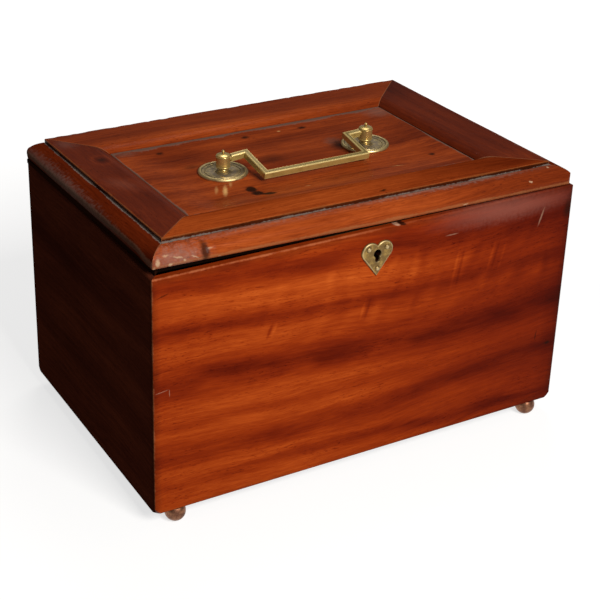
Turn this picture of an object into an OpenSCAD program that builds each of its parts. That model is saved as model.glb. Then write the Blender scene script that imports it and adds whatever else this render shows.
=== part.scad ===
// Tea caddy: mitred hardwood case on brass ball feet, with a moulded frame and panel lid,
// a brass bail handle, a heart escutcheon over a box lock, and two stop-bevelled butt hinges.
// Millimetres, +Z up, front of the caddy towards -Y, origin on the floor under the middle.

/* [Case] */
// outside width of the case
case_w = 270; // [230:1:310]
// outside depth of the case
case_d = 174; // [150:1:210]
// height of the case boards
case_h = 143.5; // [120:0.5:170]
// thickness of the case boards
board_t = 12; // [11:0.5:15]
// rounding of the upright corners
corner_r = 1.25; // [0.5:0.25:4]
// rounding of the bottom edges
base_r = 1.25; // [0.5:0.25:4]
// radius of the ball that the worn bottom corners follow
corner_ball = 15; // [9:0.5:18]
// rounding of the outer edge of the rim
rim_r = 1.2; // [0.4:0.1:2]
// thickness of the bottom board
bottom_t = 8; // [6:0.5:10]
// depth of the rebate that holds the bottom board
rebate = 3.5; // [2.5:0.25:4]
// thickness of the partitions
partition_t = 6; // [4:0.5:8]
// depth of the housings that hold the partitions
housing = 3; // [2:0.25:4]
// drop of the partitions below the rim
partition_drop = 6; // [4:0.5:20]

/* [Feet] */
// diameter of a ball foot
foot_d = 12; // [10:0.5:14]
// drop of the ball centre below the case
foot_drop = 3.75; // [3:0.25:5]
// height worn off the bottom of each ball
foot_flat = 0.3; // [0.2:0.05:0.6]
// distance of a foot from the case side
foot_side = 14.5; // [12.5:0.5:30]
// distance of a foot from the front or back face
foot_front = 5; // [5:0.25:6.25]
// diameter of the spigot on a foot
spigot_d = 4; // [3:0.25:4.5]
// length of the spigot on a foot
spigot_l = 9; // [6:0.5:14]

/* [Lid] */
// shadow gap between the rim and the lid
lid_gap = 1; // [0.6:0.1:1.4]
// set-back of the lid from the case faces
lid_inset = 0.5; // [0.2:0.1:1]
// thickness of the lid frame
lid_t = 10.7; // [10:0.1:13]
// width of the edge moulding
mould_w = 10.5; // [9:0.25:12]
// height of the edge moulding
mould_h = 8.2; // [7.5:0.1:9]
// radius of the thumb moulding
mould_r = 6; // [4:0.25:6.5]
// rounding under the moulding
mould_b = 0.8; // [0.3:0.1:1]
// width of the frame members
rail_w = 28.5; // [24:0.5:34]
// rounding of the outer arris of the frame
arris_r = 0.6; // [0.3:0.1:1.2]
// width of the rolled inner edge of the frame
roll_w = 8; // [5:0.5:12]
// drop of the rolled inner edge
roll_h = 3; // [2:0.1:3.2]
// depth of the panel below the frame
panel_drop = 3.2; // [2.5:0.1:3.6]
// thickness of the panel
panel_t = 5.5; // [5:0.1:6]
// thickness of the panel tongue
tongue_t = 2.6; // [2:0.1:3]
// width of the panel tongue
tongue_w = 3; // [2:0.25:5]
// room left for the panel to move in its groove
tongue_play = 0.6; // [0.3:0.1:1.2]

/* [Hinges] */
// distance of the middle of each hinge from the case side
hinge_end = 55; // [45:1:80]
// length of a hinge
leaf_l = 38; // [30:1:50]
// reach of a leaf in from the hinge line
leaf_w = 9.2; // [8.5:0.1:10]
// thickness of a leaf
leaf_t = 1.5; // [1.2:0.1:1.8]
// diameter of the knuckles
barrel_d = 5.2; // [4.8:0.1:5.8]
// diameter of the hinge pins
pin_d = 2.4; // [2:0.1:2.8]
// depth of the hinge line inside the back face
hinge_in = 2; // [1.6:0.1:2.4]
// opening angle at which the two stop bevels meet
open_angle = 100; // [92:1:110]
// number of knuckles along a hinge
knuckles = 5; // [3:2:7]

/* [Lock] */
// half length of the lock selvage
selvage_hl = 34; // [32:0.5:36]
// width of the lock selvage
selvage_w = 8.5; // [8:0.25:9]
// thickness of the lock plates
lock_t = 1.6; // [1.4:0.1:1.8]
// half width of the lock box
lock_hw = 28; // [27:0.5:29]
// height of the lock plate below the rim
lock_h = 36; // [33:0.5:40]
// thickness of the lock bolt
bolt_t = 3.2; // [2.8:0.1:3.6]
// travel of the lock bolt
bolt_travel = 4.2; // [3.5:0.1:4.4]
// depth of the keyhole centre below the rim
key_drop = 14.4; // [14:0.1:16]
// diameter of the round of the keyhole
key_d = 5; // [4.4:0.1:5.4]
// width of the slot of the keyhole
key_slot = 3; // [2.4:0.1:3.4]
// length of the keyhole below its centre
key_l = 5.2; // [4.5:0.1:6]

/* [Escutcheon] */
// radius of the lobes of the heart
lobe_r = 5.6; // [5:0.1:5.8]
// distance of a lobe centre from the middle
lobe_x = 4.45; // [4.3:0.05:5.2]
// height of the lobe centres above the keyhole centre
lobe_rise = 1.5; // [1:0.1:3]
// depth of the tip below the keyhole centre
tip_drop = 13.5; // [12:0.1:15]
// thickness of the escutcheon
plate_t = 1.2; // [0.8:0.1:1.5]
// diameter of a pin head
pin_head_d = 2.8; // [2.2:0.1:3]
// height of a pin head
pin_head_h = 0.8; // [0.5:0.05:1]

/* [Handle] */
// distance between the two posts
handle_span = 96; // [84:1:110]
// set-back of the handle behind the middle of the case
handle_back = 2; // [-6:0.5:8]
// diameter of a rose
rose_d = 29; // [26:0.5:32]
// thickness of a rose
rose_t = 1; // [0.8:0.1:1.4]
// height of the bail pivot above the panel
pivot_h = 8.4; // [7.9:0.1:8.8]
// diameter of the barrel of a post
post_d = 8.2; // [7.4:0.1:9]
// height of the underside of the barrel above the panel
barrel_lo = 3.6; // [3.2:0.1:4.2]
// height of the barrel of a post
barrel_h = 7; // [6.6:0.1:7.6]
// diameter of the threaded shank of a post
shank_d = 3.5; // [3:0.1:4]
// side of the square bar of the bail
bar_s = 4.4; // [3.6:0.1:5]
// chamfer on the bar of the bail
bar_c = 0.45; // [0.2:0.05:0.8]
// length of the bail arms
arm_l = 25; // [20:0.5:29]
// distance of an arm from its post
stub_l = 14; // [11:0.5:18]
// diameter of the bail pivots
pivot_d = 3; // [2.4:0.1:3.2]

/* [Hidden] */
$fn = 96;
over = 1;
fit_r = 0.05;
run_r = 0.06;
clear = 0.3;
seat_gap = 0.35;

wood = [0.42, 0.17, 0.07];
dark_wood = [0.30, 0.12, 0.06];
pale_wood = [0.52, 0.27, 0.13];
brass = [0.72, 0.58, 0.28];
steel = [0.45, 0.44, 0.42];

hw = case_w / 2;
lip = board_t - rebate;
ball_in = 2 / 3 * corner_ball;
front_proud = plate_t + pin_head_h;
barrel_r = barrel_d / 2;
back_proud = barrel_r - hinge_in;
face_y = (front_proud - back_proud - case_d) / 2;
back_y = face_y + case_d;

foot_h = foot_drop + foot_d / 2 - foot_flat;
base_z = foot_h;
rim_z = base_z + case_h;
lid_z = rim_z + lid_gap;
top_z = lid_z + lid_t;
panel_z = top_z - panel_drop;

lid_x = hw - lid_inset;
lid_front = face_y + lid_inset;
lid_back = back_y - lid_inset;
frame_x = lid_x - mould_w;
frame_front = lid_front + mould_w;
open_x = frame_x - rail_w;
open_front = frame_front + rail_w;
open_back = lid_back - rail_w;
roll_rad = (roll_w * roll_w + roll_h * roll_h) / (2 * roll_h);
tongue_lo = lid_t - panel_drop - panel_t + (panel_t - tongue_t) / 2;

well_w = (case_w - 2 * board_t - 2 * partition_t) / 3;
partition_x = (well_w + partition_t) / 2;

hinge_x = hw - hinge_end;
axis_y = back_y - hinge_in;
axis_z = rim_z + lid_gap / 2;
stop_half = open_angle / 2;
stop_gap = 0.15;
knuckle_gap = 0.3;
pitch = leaf_l / knuckles;
leaf_screws = [-13, 0, 13];
leaf_screw_in = 6.1;

screw_d = 2.2;
head_d = 4;
slot_w = 0.6;
slot_d = 0.5;
point_l = 1.6;
case_screw_l = 10;
lid_screw_l = 6.5;
lock_screw_l = 8;

inner_y = face_y + board_t;
box_t = 1.2;
bolt_play = 0.3;
box_d = bolt_t + 2 * bolt_play;
bolt_y = inner_y - lock_t - box_d / 2;
cap_y = inner_y - lock_t - box_d - box_t;
key_z = rim_z - key_drop;
lock_screw_x = (selvage_hl + lock_hw) / 2;
lock_screw_z = rim_z - lock_h + 8;
selvage_mid = inner_y - selvage_w / 2;

hook_t = 2.6;
hook_w = 3;
barb_l = bolt_travel + clear;
barb_h = 2.8;
hook_end = 8.4;
hook_xs = [8.5, -15.5];
tip_gap = 0.6;
finger_l = 5;
finger_h = 2.8;
finger_lo = 5;
riser_w = 3.5;
bar_hi = 9;
bar_lo = 15.5;
bolt_left = -24.6;
bolt_right = 16;
talon_l = -9.5;
talon_r = 5.5;
talon_top = 10;
notch_hw = 1.6;
notch_top = 8;
hump_top = 6;
hump_left = -6;
link_hl = 27;
link_w = 8;
link_y = bolt_y - link_w / 2;
link_screw_x = 22;
drill_d = 1.8;
drill_l = 8;

spring_r = 18;
spring_t = 0.5;
spring_x = -17;
spring_half = 24;
spring_top = rim_z - bar_lo - clear;
ledge_z = spring_top - spring_t - (spring_r - spring_t) * (1 - cos(spring_half));
ledge_hl = 9;
ledge_t = 2;

post_x = handle_span / 2;
handle_y = (face_y + back_y) / 2 + handle_back;
pivot_z = panel_z + pivot_h;
collar_d = 9;
collar_h = 1.5;
rim_bead = 1.3;
line_bead = 0.45;
line_at = 0.72;
flange_r = 3.3;
flange_t = 0.5;
cove_r = 1.1;
neck_r = 2.4;
cap_r = 3.95;
cap_t = 0.5;
dome_h = 0.8;
finial_r = 0.95;
finial_h = 1.2;
finial_neck = 0.6;
pivot_in = 1.6;
nut_s = 7;
nut_t = 1.7;
arm_x = post_x - stub_l;
bar_r = bar_s / 2;
reach_r = arm_l + bar_r;
droop = asin((pivot_h - seat_gap) / norm([reach_r, bar_r])) - atan2(bar_r, reach_r);
stub_end = post_x - post_d / 2 - seat_gap - line_bead;

pin_shank_d = 1.2;
pin_l = 6;
pin_x = 6;
pin_rise = 3.2;
pin_low = 7.7;

// upright outline with rounded lower and upper corners
module outline(w, h, low_r, high_r) {
  translate([0, low_r])
    square([w, h - low_r - high_r]);
  translate([low_r, 0])
    square([w - 2 * low_r, h / 2]);
  translate([high_r, h / 2])
    square([w - 2 * high_r, h / 2]);
  for (x = [low_r, w - low_r])
    translate([x, low_r])
      circle(low_r);
  for (x = [high_r, w - high_r])
    translate([x, h - high_r])
      circle(high_r);
}

// a section extruded along +X, its first axis towards +Y
module along_x(len) {
  rotate([90, 0, 90])
    linear_extrude(len)
      children();
}

// what wear takes off a bottom corner, outside a ball set into the corner
module worn_corner(sx, sy) {
  translate([sx * (hw - ball_in), sy < 0 ? face_y + ball_in : back_y - ball_in, base_z + ball_in])
    difference() {
      translate([sx < 0 ? -ball_in - over : 0, sy < 0 ? -ball_in - over : 0, -ball_in - over])
        cube(ball_in + over);
      sphere(corner_ball);
    }
}

// whole outer form of the case, rounded from three sides and worn at the bottom corners
module case_block() {
  difference() {
    intersection() {
      translate([-hw, face_y, base_z])
        linear_extrude(case_h)
          outline(case_w, case_d, corner_r, corner_r);
      translate([-hw, back_y, base_z])
        rotate([90, 0, 0])
          linear_extrude(case_d)
            outline(case_w, case_h, base_r, rim_r);
      translate([-hw, face_y, base_z])
        along_x(case_w)
          outline(case_d, case_h, base_r, rim_r);
    }
    for (sx = [-1, 1], sy = [-1, 1])
      worn_corner(sx, sy);
  }
}

// mitred plan of the front member of a rectangular ring
module front_plan(hx, y0, d) {
  polygon([[-hx - over, y0 - over], [hx + over, y0 - over],
    [hx - d - over, y0 + d + over], [-hx + d + over, y0 + d + over]]);
}

// mitred plan of the left member of a rectangular ring
module left_plan(hx, y0, y1, d) {
  polygon([[-hx - over, y0 - over], [-hx + d + over, y0 + d + over],
    [-hx + d + over, y1 - d - over], [-hx - over, y1 + over]]);
}

// upright prism over a plan, covering the case and the lid
module upright() {
  translate([0, 0, base_z - over])
    linear_extrude(top_z - base_z + 2 * over)
      children();
}

// the hollow of the case above the bottom board
module hollow() {
  translate([-hw + board_t, face_y + board_t, base_z - over])
    cube([case_w - 2 * board_t, case_d - 2 * board_t, case_h + 2 * over]);
}

// the seat and the body of the bottom board
module bottom_block() {
  translate([-hw + lip, face_y + lip, base_z])
    cube([case_w - 2 * lip, case_d - 2 * lip, bottom_t]);
}

// one partition standing in its housings
module partition_block(s) {
  translate([s * partition_x - partition_t / 2, face_y + board_t - housing, base_z + bottom_t])
    cube([partition_t, case_d - 2 * (board_t - housing), case_h - bottom_t - partition_drop]);
}

// the opening between the two stop bevels along the back
module stop_vee() {
  g = lid_gap / 2;
  y0 = (g * cos(stop_half) - stop_gap) / sin(stop_half);
  y1 = hinge_in + over;
  z1 = (stop_gap + y1 * sin(stop_half)) / cos(stop_half);
  translate([-hw - over, axis_y, axis_z])
    along_x(case_w + 2 * over)
      polygon([[y0, -g], [y1, -z1], [y1, z1], [y0, g]]);
}

// a countersunk wood screw, head up at the origin, grown by play
module screw_form(len, play) {
  r = screw_d / 2 + play;
  h = head_d / 2 + play;
  rotate_extrude()
    polygon([[0, 0], [h, 0], [r, r - h], [r, point_l - len], [0, -len]]);
}

module wood_screw(len) {
  difference() {
    screw_form(len, 0);
    translate([-head_d, -slot_w / 2, -slot_d])
      cube([2 * head_d, slot_w, slot_d + over]);
  }
}

// seats of the leaf, barrel and screws of one hinge, s = -1 left, 1 right
module barrel_seat(s) {
  translate([s * hinge_x - leaf_l / 2 - clear, axis_y, axis_z])
    rotate([0, 90, 0])
      cylinder(h = leaf_l + 2 * clear, r = barrel_r + clear);
}

module case_leaf_block(s) {
  translate([s * hinge_x - leaf_l / 2, axis_y - leaf_w, rim_z - leaf_t])
    cube([leaf_l, leaf_w, leaf_t]);
}

module lid_leaf_block(s) {
  translate([s * hinge_x - leaf_l / 2, axis_y - leaf_w, lid_z])
    cube([leaf_l, leaf_w, leaf_t]);
}

module case_leaf_screw_places() {
  for (s = [-1, 1])
    for (x = leaf_screws)
      translate([s * hinge_x + x, axis_y - leaf_screw_in, rim_z])
        children();
}

module lid_leaf_screw_places() {
  for (s = [-1, 1])
    for (x = leaf_screws)
      translate([s * hinge_x + x, axis_y - leaf_screw_in, lid_z])
        rotate([180, 0, 0])
          children();
}

module knuckle(s, k, r, grow) {
  translate([s * hinge_x - leaf_l / 2 + k * pitch + knuckle_gap / 2 - grow, axis_y, axis_z])
    rotate([0, 90, 0])
      cylinder(h = pitch - knuckle_gap + 2 * grow, r = r);
}

module pin_bore(s, r) {
  translate([s * hinge_x - leaf_l / 2 - over, axis_y, axis_z])
    rotate([0, 90, 0])
      cylinder(h = leaf_l + 2 * over, r = r);
}

module case_leaf(s) {
  difference() {
    union() {
      case_leaf_block(s);
      for (k = [0 : 2 : knuckles - 1])
        knuckle(s, k, barrel_r, 0);
    }
    for (k = [1 : 2 : knuckles - 1])
      knuckle(s, k, barrel_r + clear, knuckle_gap / 2);
    pin_bore(s, pin_d / 2);
    case_leaf_screw_places()
      screw_form(case_screw_l, fit_r);
  }
}

module lid_leaf(s) {
  difference() {
    union() {
      lid_leaf_block(s);
      for (k = [1 : 2 : knuckles - 1])
        knuckle(s, k, barrel_r, 0);
    }
    for (k = [0 : 2 : knuckles - 1])
      knuckle(s, k, barrel_r + clear, knuckle_gap / 2);
    pin_bore(s, pin_d / 2 + run_r);
    lid_leaf_screw_places()
      screw_form(lid_screw_l, fit_r);
  }
}

module hinge_pin(s) {
  translate([s * hinge_x - leaf_l / 2, axis_y, axis_z])
    rotate([0, 90, 0])
      cylinder(h = leaf_l, r = pin_d / 2);
}

// where the four feet stand
module foot_place(sx, sy) {
  translate([sx * (hw - foot_side), sy < 0 ? face_y + foot_front : back_y - foot_front, base_z])
    children();
}

module foot(sx, sy) {
  foot_place(sx, sy) {
    intersection() {
      translate([0, 0, -foot_drop])
        sphere(foot_d / 2);
      translate([-foot_d, -foot_d, -foot_h])
        cube([2 * foot_d, 2 * foot_d, foot_h]);
    }
    translate([0, 0, -foot_drop])
      cylinder(h = foot_drop + spigot_l, d = spigot_d);
  }
}

module spigot_bore(sx, sy) {
  foot_place(sx, sy)
    translate([0, 0, -over])
      cylinder(h = over + spigot_l + clear, r = spigot_d / 2 + fit_r);
}

// keyhole outline, round centre at the origin
module keyhole(play) {
  circle(key_d / 2 + play);
  translate([-key_slot / 2 - play, -key_l + key_slot / 2])
    square([key_slot + 2 * play, key_l - key_slot / 2]);
  translate([0, -key_l + key_slot / 2])
    circle(key_slot / 2 + play);
}

// keyhole passage towards -Y from y1 over len
module key_passage(y1, len, play) {
  translate([0, y1, key_z])
    rotate([90, 0, 0])
      linear_extrude(len)
        keyhole(play);
}

// screws of the lock: two down through the selvage, two out through the plate
module lock_screw_places() {
  for (x = [-lock_screw_x, lock_screw_x]) {
    translate([x, selvage_mid, rim_z])
      children();
    translate([x, inner_y, lock_screw_z])
      rotate([-90, 0, 0])
        children();
  }
}

module lock_recess() {
  translate([-selvage_hl, inner_y - selvage_w, rim_z - lock_t])
    cube([2 * selvage_hl, selvage_w + over, lock_t + over]);
  translate([-selvage_hl, inner_y - lock_t, rim_z - lock_h])
    cube([2 * selvage_hl, lock_t + over, lock_h]);
  translate([-lock_hw, cap_y - clear, rim_z - lock_h])
    cube([2 * lock_hw, inner_y - cap_y + clear, lock_h]);
}

// heart of the escutcheon, keyhole centre at the origin
module heart() {
  c = [lobe_x, lobe_rise];
  tip = [0, -tip_drop];
  d = norm(c - tip);
  a = atan2(c[1] - tip[1], c[0] - tip[0]) - asin(lobe_r / d);
  l = sqrt(d * d - lobe_r * lobe_r);
  t = tip + l * [cos(a), sin(a)];
  for (s = [-1, 1])
    translate([s * lobe_x, lobe_rise])
      circle(lobe_r);
  polygon([tip, t, c, [-c[0], c[1]], [-t[0], t[1]]]);
}

module escutcheon_pin_places() {
  for (p = [[-pin_x, pin_rise], [pin_x, pin_rise], [0, -pin_low]])
    translate([p[0], face_y - plate_t, key_z + p[1]])
      rotate([-90, 0, 0])
        children();
}

// domed pin, head on the -Z side of the origin, shank towards +Z
module domed_pin() {
  ball = (pin_head_d * pin_head_d / 4 + pin_head_h * pin_head_h) / (2 * pin_head_h);
  intersection() {
    translate([0, 0, ball - pin_head_h])
      sphere(ball);
    translate([-pin_head_d, -pin_head_d, -pin_head_h - over])
      cube([2 * pin_head_d, 2 * pin_head_d, pin_head_h + over]);
  }
  translate([0, 0, -pin_head_h / 2])
    cylinder(h = pin_l + pin_head_h / 2, d = pin_shank_d);
}

module pin_bores() {
  escutcheon_pin_places()
    translate([0, 0, -over])
      cylinder(h = pin_l + over + clear, r = pin_shank_d / 2 + fit_r);
}

// one board of the case, cut from the whole form by its mitred plan
module case_board() {
  difference() {
    intersection() {
      case_block();
      upright()
        children();
    }
    hollow();
    bottom_block();
    stop_vee();
  }
}

module front_board() {
  color(wood)
    difference() {
      case_board()
        front_plan(hw, face_y, board_t);
      partition_block(-1);
      partition_block(1);
      lock_recess();
      key_passage(inner_y, board_t + over, 0);
      pin_bores();
      spigot_bore(-1, -1);
      spigot_bore(1, -1);
      lock_screw_places()
        screw_form(lock_screw_l, fit_r);
    }
}

module back_board() {
  color(dark_wood)
    difference() {
      case_board()
        mirror([0, 1])
          front_plan(hw, -back_y, board_t);
      partition_block(-1);
      partition_block(1);
      for (s = [-1, 1]) {
        case_leaf_block(s);
        barrel_seat(s);
        spigot_bore(s, 1);
      }
      case_leaf_screw_places()
        screw_form(case_screw_l, fit_r);
    }
}

module left_side() {
  color(dark_wood)
    case_board()
      left_plan(hw, face_y, back_y, board_t);
}

module right_side() {
  color(dark_wood)
    case_board()
      mirror([1, 0])
        left_plan(hw, face_y, back_y, board_t);
}

module bottom_board() {
  color(pale_wood)
    bottom_block();
}

module left_partition() {
  color(pale_wood)
    partition_block(-1);
}

module right_partition() {
  color(pale_wood)
    partition_block(1);
}

module front_left_foot() {
  color(brass)
    foot(-1, -1);
}

module front_right_foot() {
  color(brass)
    foot(1, -1);
}

module back_left_foot() {
  color(brass)
    foot(-1, 1);
}

module back_right_foot() {
  color(brass)
    foot(1, 1);
}

module escutcheon() {
  color(brass)
    difference() {
      translate([0, face_y, key_z])
        rotate([90, 0, 0])
          linear_extrude(plate_t)
            heart();
      key_passage(face_y + over, plate_t + 2 * over, 0);
      pin_bores();
    }
}

module escutcheon_pins() {
  color(brass)
    escutcheon_pin_places()
      domed_pin();
}

// lock box: selvage, plate, three walls and the ledge under the spring
module lock_plate() {
  color(brass)
    difference() {
      union() {
        translate([-selvage_hl, inner_y - selvage_w, rim_z - lock_t])
          cube([2 * selvage_hl, selvage_w, lock_t]);
        translate([-selvage_hl, inner_y - lock_t, rim_z - lock_h])
          cube([2 * selvage_hl, lock_t, lock_h]);
        for (x = [-lock_hw, lock_hw - box_t])
          translate([x, cap_y + box_t, rim_z - lock_h])
            cube([box_t, inner_y - cap_y - box_t, lock_h]);
        translate([-lock_hw, cap_y + box_t, rim_z - lock_h])
          cube([2 * lock_hw, inner_y - cap_y - box_t, box_t]);
        translate([spring_x - ledge_hl, cap_y + box_t, ledge_z - ledge_t])
          cube([2 * ledge_hl, inner_y - cap_y - box_t, ledge_t]);
      }
      for (x = hook_xs)
        translate([x - tip_gap, bolt_y - hook_t / 2 - tip_gap, rim_z - lock_t - over])
          cube([barb_l + hook_w + 2 * tip_gap, hook_t + 2 * tip_gap, lock_t + 2 * over]);
      translate([0, inner_y, key_z])
        rotate([90, 0, 0])
          translate([0, 0, -over])
            cylinder(h = lock_t + 2 * over, d = drill_d);
      lock_screw_places()
        screw_form(lock_screw_l, fit_r);
    }
}

module lock_cap() {
  color(brass)
    difference() {
      translate([-lock_hw, cap_y, rim_z - lock_h])
        cube([2 * lock_hw, box_t, lock_h - lock_t]);
      key_passage(inner_y, board_t, clear);
    }
}

module drill_pin() {
  color(steel)
    translate([0, inner_y, key_z])
      rotate([90, 0, 0])
        cylinder(h = drill_l, d = drill_d);
}

// flat outline of the bolt, x along the rim, y up from the rim
module bolt_outline() {
  difference() {
    union() {
      translate([bolt_left, -bar_lo])
        square([bolt_right - bolt_left, bar_lo - bar_hi]);
      translate([hump_left, -bar_lo])
        square([hook_xs[0] - tip_gap - finger_l - hump_left, bar_lo - hump_top]);
      for (x = hook_xs) {
        translate([x - tip_gap - finger_l, -finger_lo])
          square([finger_l, finger_h]);
        translate([x - tip_gap - finger_l - riser_w, -bar_lo])
          square([riser_w, bar_lo - finger_lo + finger_h]);
      }
    }
    translate([talon_l, -bar_lo - over])
      square([talon_r - talon_l, bar_lo - talon_top + over]);
    translate([-notch_hw, -bar_lo])
      square([2 * notch_hw, bar_lo - notch_top]);
  }
}

module lock_bolt() {
  color(steel)
    translate([0, bolt_y + bolt_t / 2, rim_z])
      rotate([90, 0, 0])
        linear_extrude(bolt_t)
          bolt_outline();
}

// bowed leaf spring that keeps the bolt from drifting
module lock_spring() {
  color(steel)
    translate([spring_x, bolt_y + bolt_t / 2, spring_top - spring_r])
      rotate([90, 0, 0])
        linear_extrude(bolt_t)
          intersection() {
            difference() {
              circle(spring_r);
              circle(spring_r - spring_t);
            }
            polygon([[0, 0], [2 * spring_r * sin(spring_half), 2 * spring_r * cos(spring_half)],
              [-2 * spring_r * sin(spring_half), 2 * spring_r * cos(spring_half)]]);
          }
}

module lock_screws() {
  color(brass)
    lock_screw_places()
      wood_screw(lock_screw_l);
}

module left_case_leaf() {
  color(brass)
    case_leaf(-1);
}

module right_case_leaf() {
  color(brass)
    case_leaf(1);
}

module left_lid_leaf() {
  color(brass)
    lid_leaf(-1);
}

module right_lid_leaf() {
  color(brass)
    lid_leaf(1);
}

module left_hinge_pin() {
  color(steel)
    hinge_pin(-1);
}

module right_hinge_pin() {
  color(steel)
    hinge_pin(1);
}

module case_leaf_screws() {
  color(brass)
    case_leaf_screw_places()
      wood_screw(case_screw_l);
}

module lid_leaf_screws() {
  color(brass)
    lid_leaf_screw_places()
      wood_screw(lid_screw_l);
}

// section of a frame member: outer arris, rolled inner edge, groove for the panel
module rail_section() {
  difference() {
    square([rail_w, lid_t]);
    difference() {
      translate([-over, lid_t - arris_r])
        square([over + arris_r, over + arris_r]);
      translate([arris_r, lid_t - arris_r])
        circle(arris_r);
    }
    difference() {
      translate([rail_w - roll_w, lid_t - roll_h])
        square([roll_w + over, roll_h + over]);
      translate([rail_w - roll_w, lid_t - roll_rad])
        circle(roll_rad);
    }
    translate([rail_w - tongue_w - tongue_play, tongue_lo])
      square([tongue_w + tongue_play + over, tongue_t]);
  }
}

// section of the edge moulding: a thumb over a short upright face
module mould_section() {
  translate([0, mould_b])
    square([mould_w, mould_h - mould_r - mould_b]);
  translate([mould_b, 0])
    square([mould_w - mould_b, mould_h - mould_r]);
  translate([mould_r, 0])
    square([mould_w - mould_r, mould_h]);
  translate([mould_b, mould_b])
    circle(mould_b);
  translate([mould_r, mould_h - mould_r])
    intersection() {
      circle(mould_r);
      translate([-mould_r, 0])
        square(mould_r);
    }
}

// seats of the link plate and its screws in the lid
module link_seat() {
  translate([-link_hl, link_y, lid_z - over])
    cube([2 * link_hl, link_w, lock_t + over]);
  link_screw_places()
    screw_form(lid_screw_l, fit_r);
}

module link_screw_places() {
  for (x = [-link_screw_x, link_screw_x])
    translate([x, bolt_y, lid_z])
      rotate([180, 0, 0])
        children();
}

module lid_front_rail() {
  color(wood)
    difference() {
      intersection() {
        translate([-frame_x, frame_front, lid_z])
          along_x(2 * frame_x)
            rail_section();
        upright()
          front_plan(frame_x, frame_front, rail_w);
      }
      link_seat();
    }
}

module lid_back_rail() {
  color(wood)
    difference() {
      intersection() {
        translate([frame_x, lid_back, lid_z])
          rotate([0, 0, 180])
            along_x(2 * frame_x)
              rail_section();
        upright()
          mirror([0, 1])
            front_plan(frame_x, -lid_back, rail_w);
      }
      stop_vee();
      for (s = [-1, 1]) {
        lid_leaf_block(s);
        barrel_seat(s);
      }
      lid_leaf_screw_places()
        screw_form(lid_screw_l, fit_r);
    }
}

module stile() {
  difference() {
    intersection() {
      translate([-frame_x, lid_back, lid_z])
        rotate([0, 0, -90])
          along_x(lid_back - frame_front)
            rail_section();
      upright()
        left_plan(frame_x, frame_front, lid_back, rail_w);
    }
    stop_vee();
  }
}

module lid_left_stile() {
  color(dark_wood)
    stile();
}

module lid_right_stile() {
  color(dark_wood)
    mirror([1, 0, 0])
      stile();
}

module lid_panel() {
  color(wood)
    difference() {
      union() {
        translate([-open_x, open_front, panel_z - panel_t])
          cube([2 * open_x, open_back - open_front, panel_t]);
        translate([-open_x - tongue_w, open_front - tongue_w, lid_z + tongue_lo])
          cube([2 * (open_x + tongue_w), open_back - open_front + 2 * tongue_w, tongue_t]);
      }
      for (x = [-post_x, post_x])
        translate([x, handle_y, panel_z - panel_t - over])
          cylinder(h = panel_t + 2 * over, r = shank_d / 2 + fit_r);
    }
}

module lid_front_moulding() {
  color(wood)
    difference() {
      intersection() {
        translate([-lid_x, lid_front, lid_z])
          along_x(2 * lid_x)
            mould_section();
        upright()
          front_plan(lid_x, lid_front, mould_w);
      }
      link_seat();
    }
}

module side_moulding() {
  difference() {
    intersection() {
      translate([-lid_x, lid_back, lid_z])
        rotate([0, 0, -90])
          along_x(lid_back - lid_front)
            mould_section();
      upright()
        left_plan(lid_x, lid_front, lid_back + mould_w + over, mould_w);
    }
    stop_vee();
  }
}

module lid_left_moulding() {
  color(dark_wood)
    side_moulding();
}

module lid_right_moulding() {
  color(dark_wood)
    mirror([1, 0, 0])
      side_moulding();
}

// plate under the lid with two barbed hooks that the bolt fingers catch
module link_plate() {
  color(brass)
    difference() {
      union() {
        translate([-link_hl, link_y, lid_z])
          cube([2 * link_hl, link_w, lock_t]);
        for (x = hook_xs)
          translate([x, bolt_y - hook_t / 2, rim_z - hook_end]) {
            translate([barb_l, 0, 0])
              cube([hook_w, hook_t, hook_end + lid_gap + lock_t]);
            cube([barb_l + hook_w, hook_t, barb_h]);
          }
      }
      link_screw_places()
        screw_form(lid_screw_l, fit_r);
    }
}

module link_screws() {
  color(brass)
    link_screw_places()
      wood_screw(lid_screw_l);
}

// turned rose with a beaded rim, a scribed line and a collar
module rose(s) {
  translate([s * post_x, handle_y, panel_z])
    rotate_extrude()
      difference() {
        union() {
          square([rose_d / 2 - rim_bead, rose_t]);
          square([collar_d / 2, collar_h]);
          intersection() {
            translate([rose_d / 2 - rim_bead, rose_t / 2])
              circle(rim_bead);
            square([rose_d, rose_d]);
          }
          translate([rose_d / 2 * line_at, rose_t])
            circle(line_bead);
        }
        square([shank_d / 2 + fit_r, collar_h + over]);
      }
}

module left_rose() {
  color(brass)
    rose(-1);
}

module right_rose() {
  color(brass)
    rose(1);
}

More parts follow.
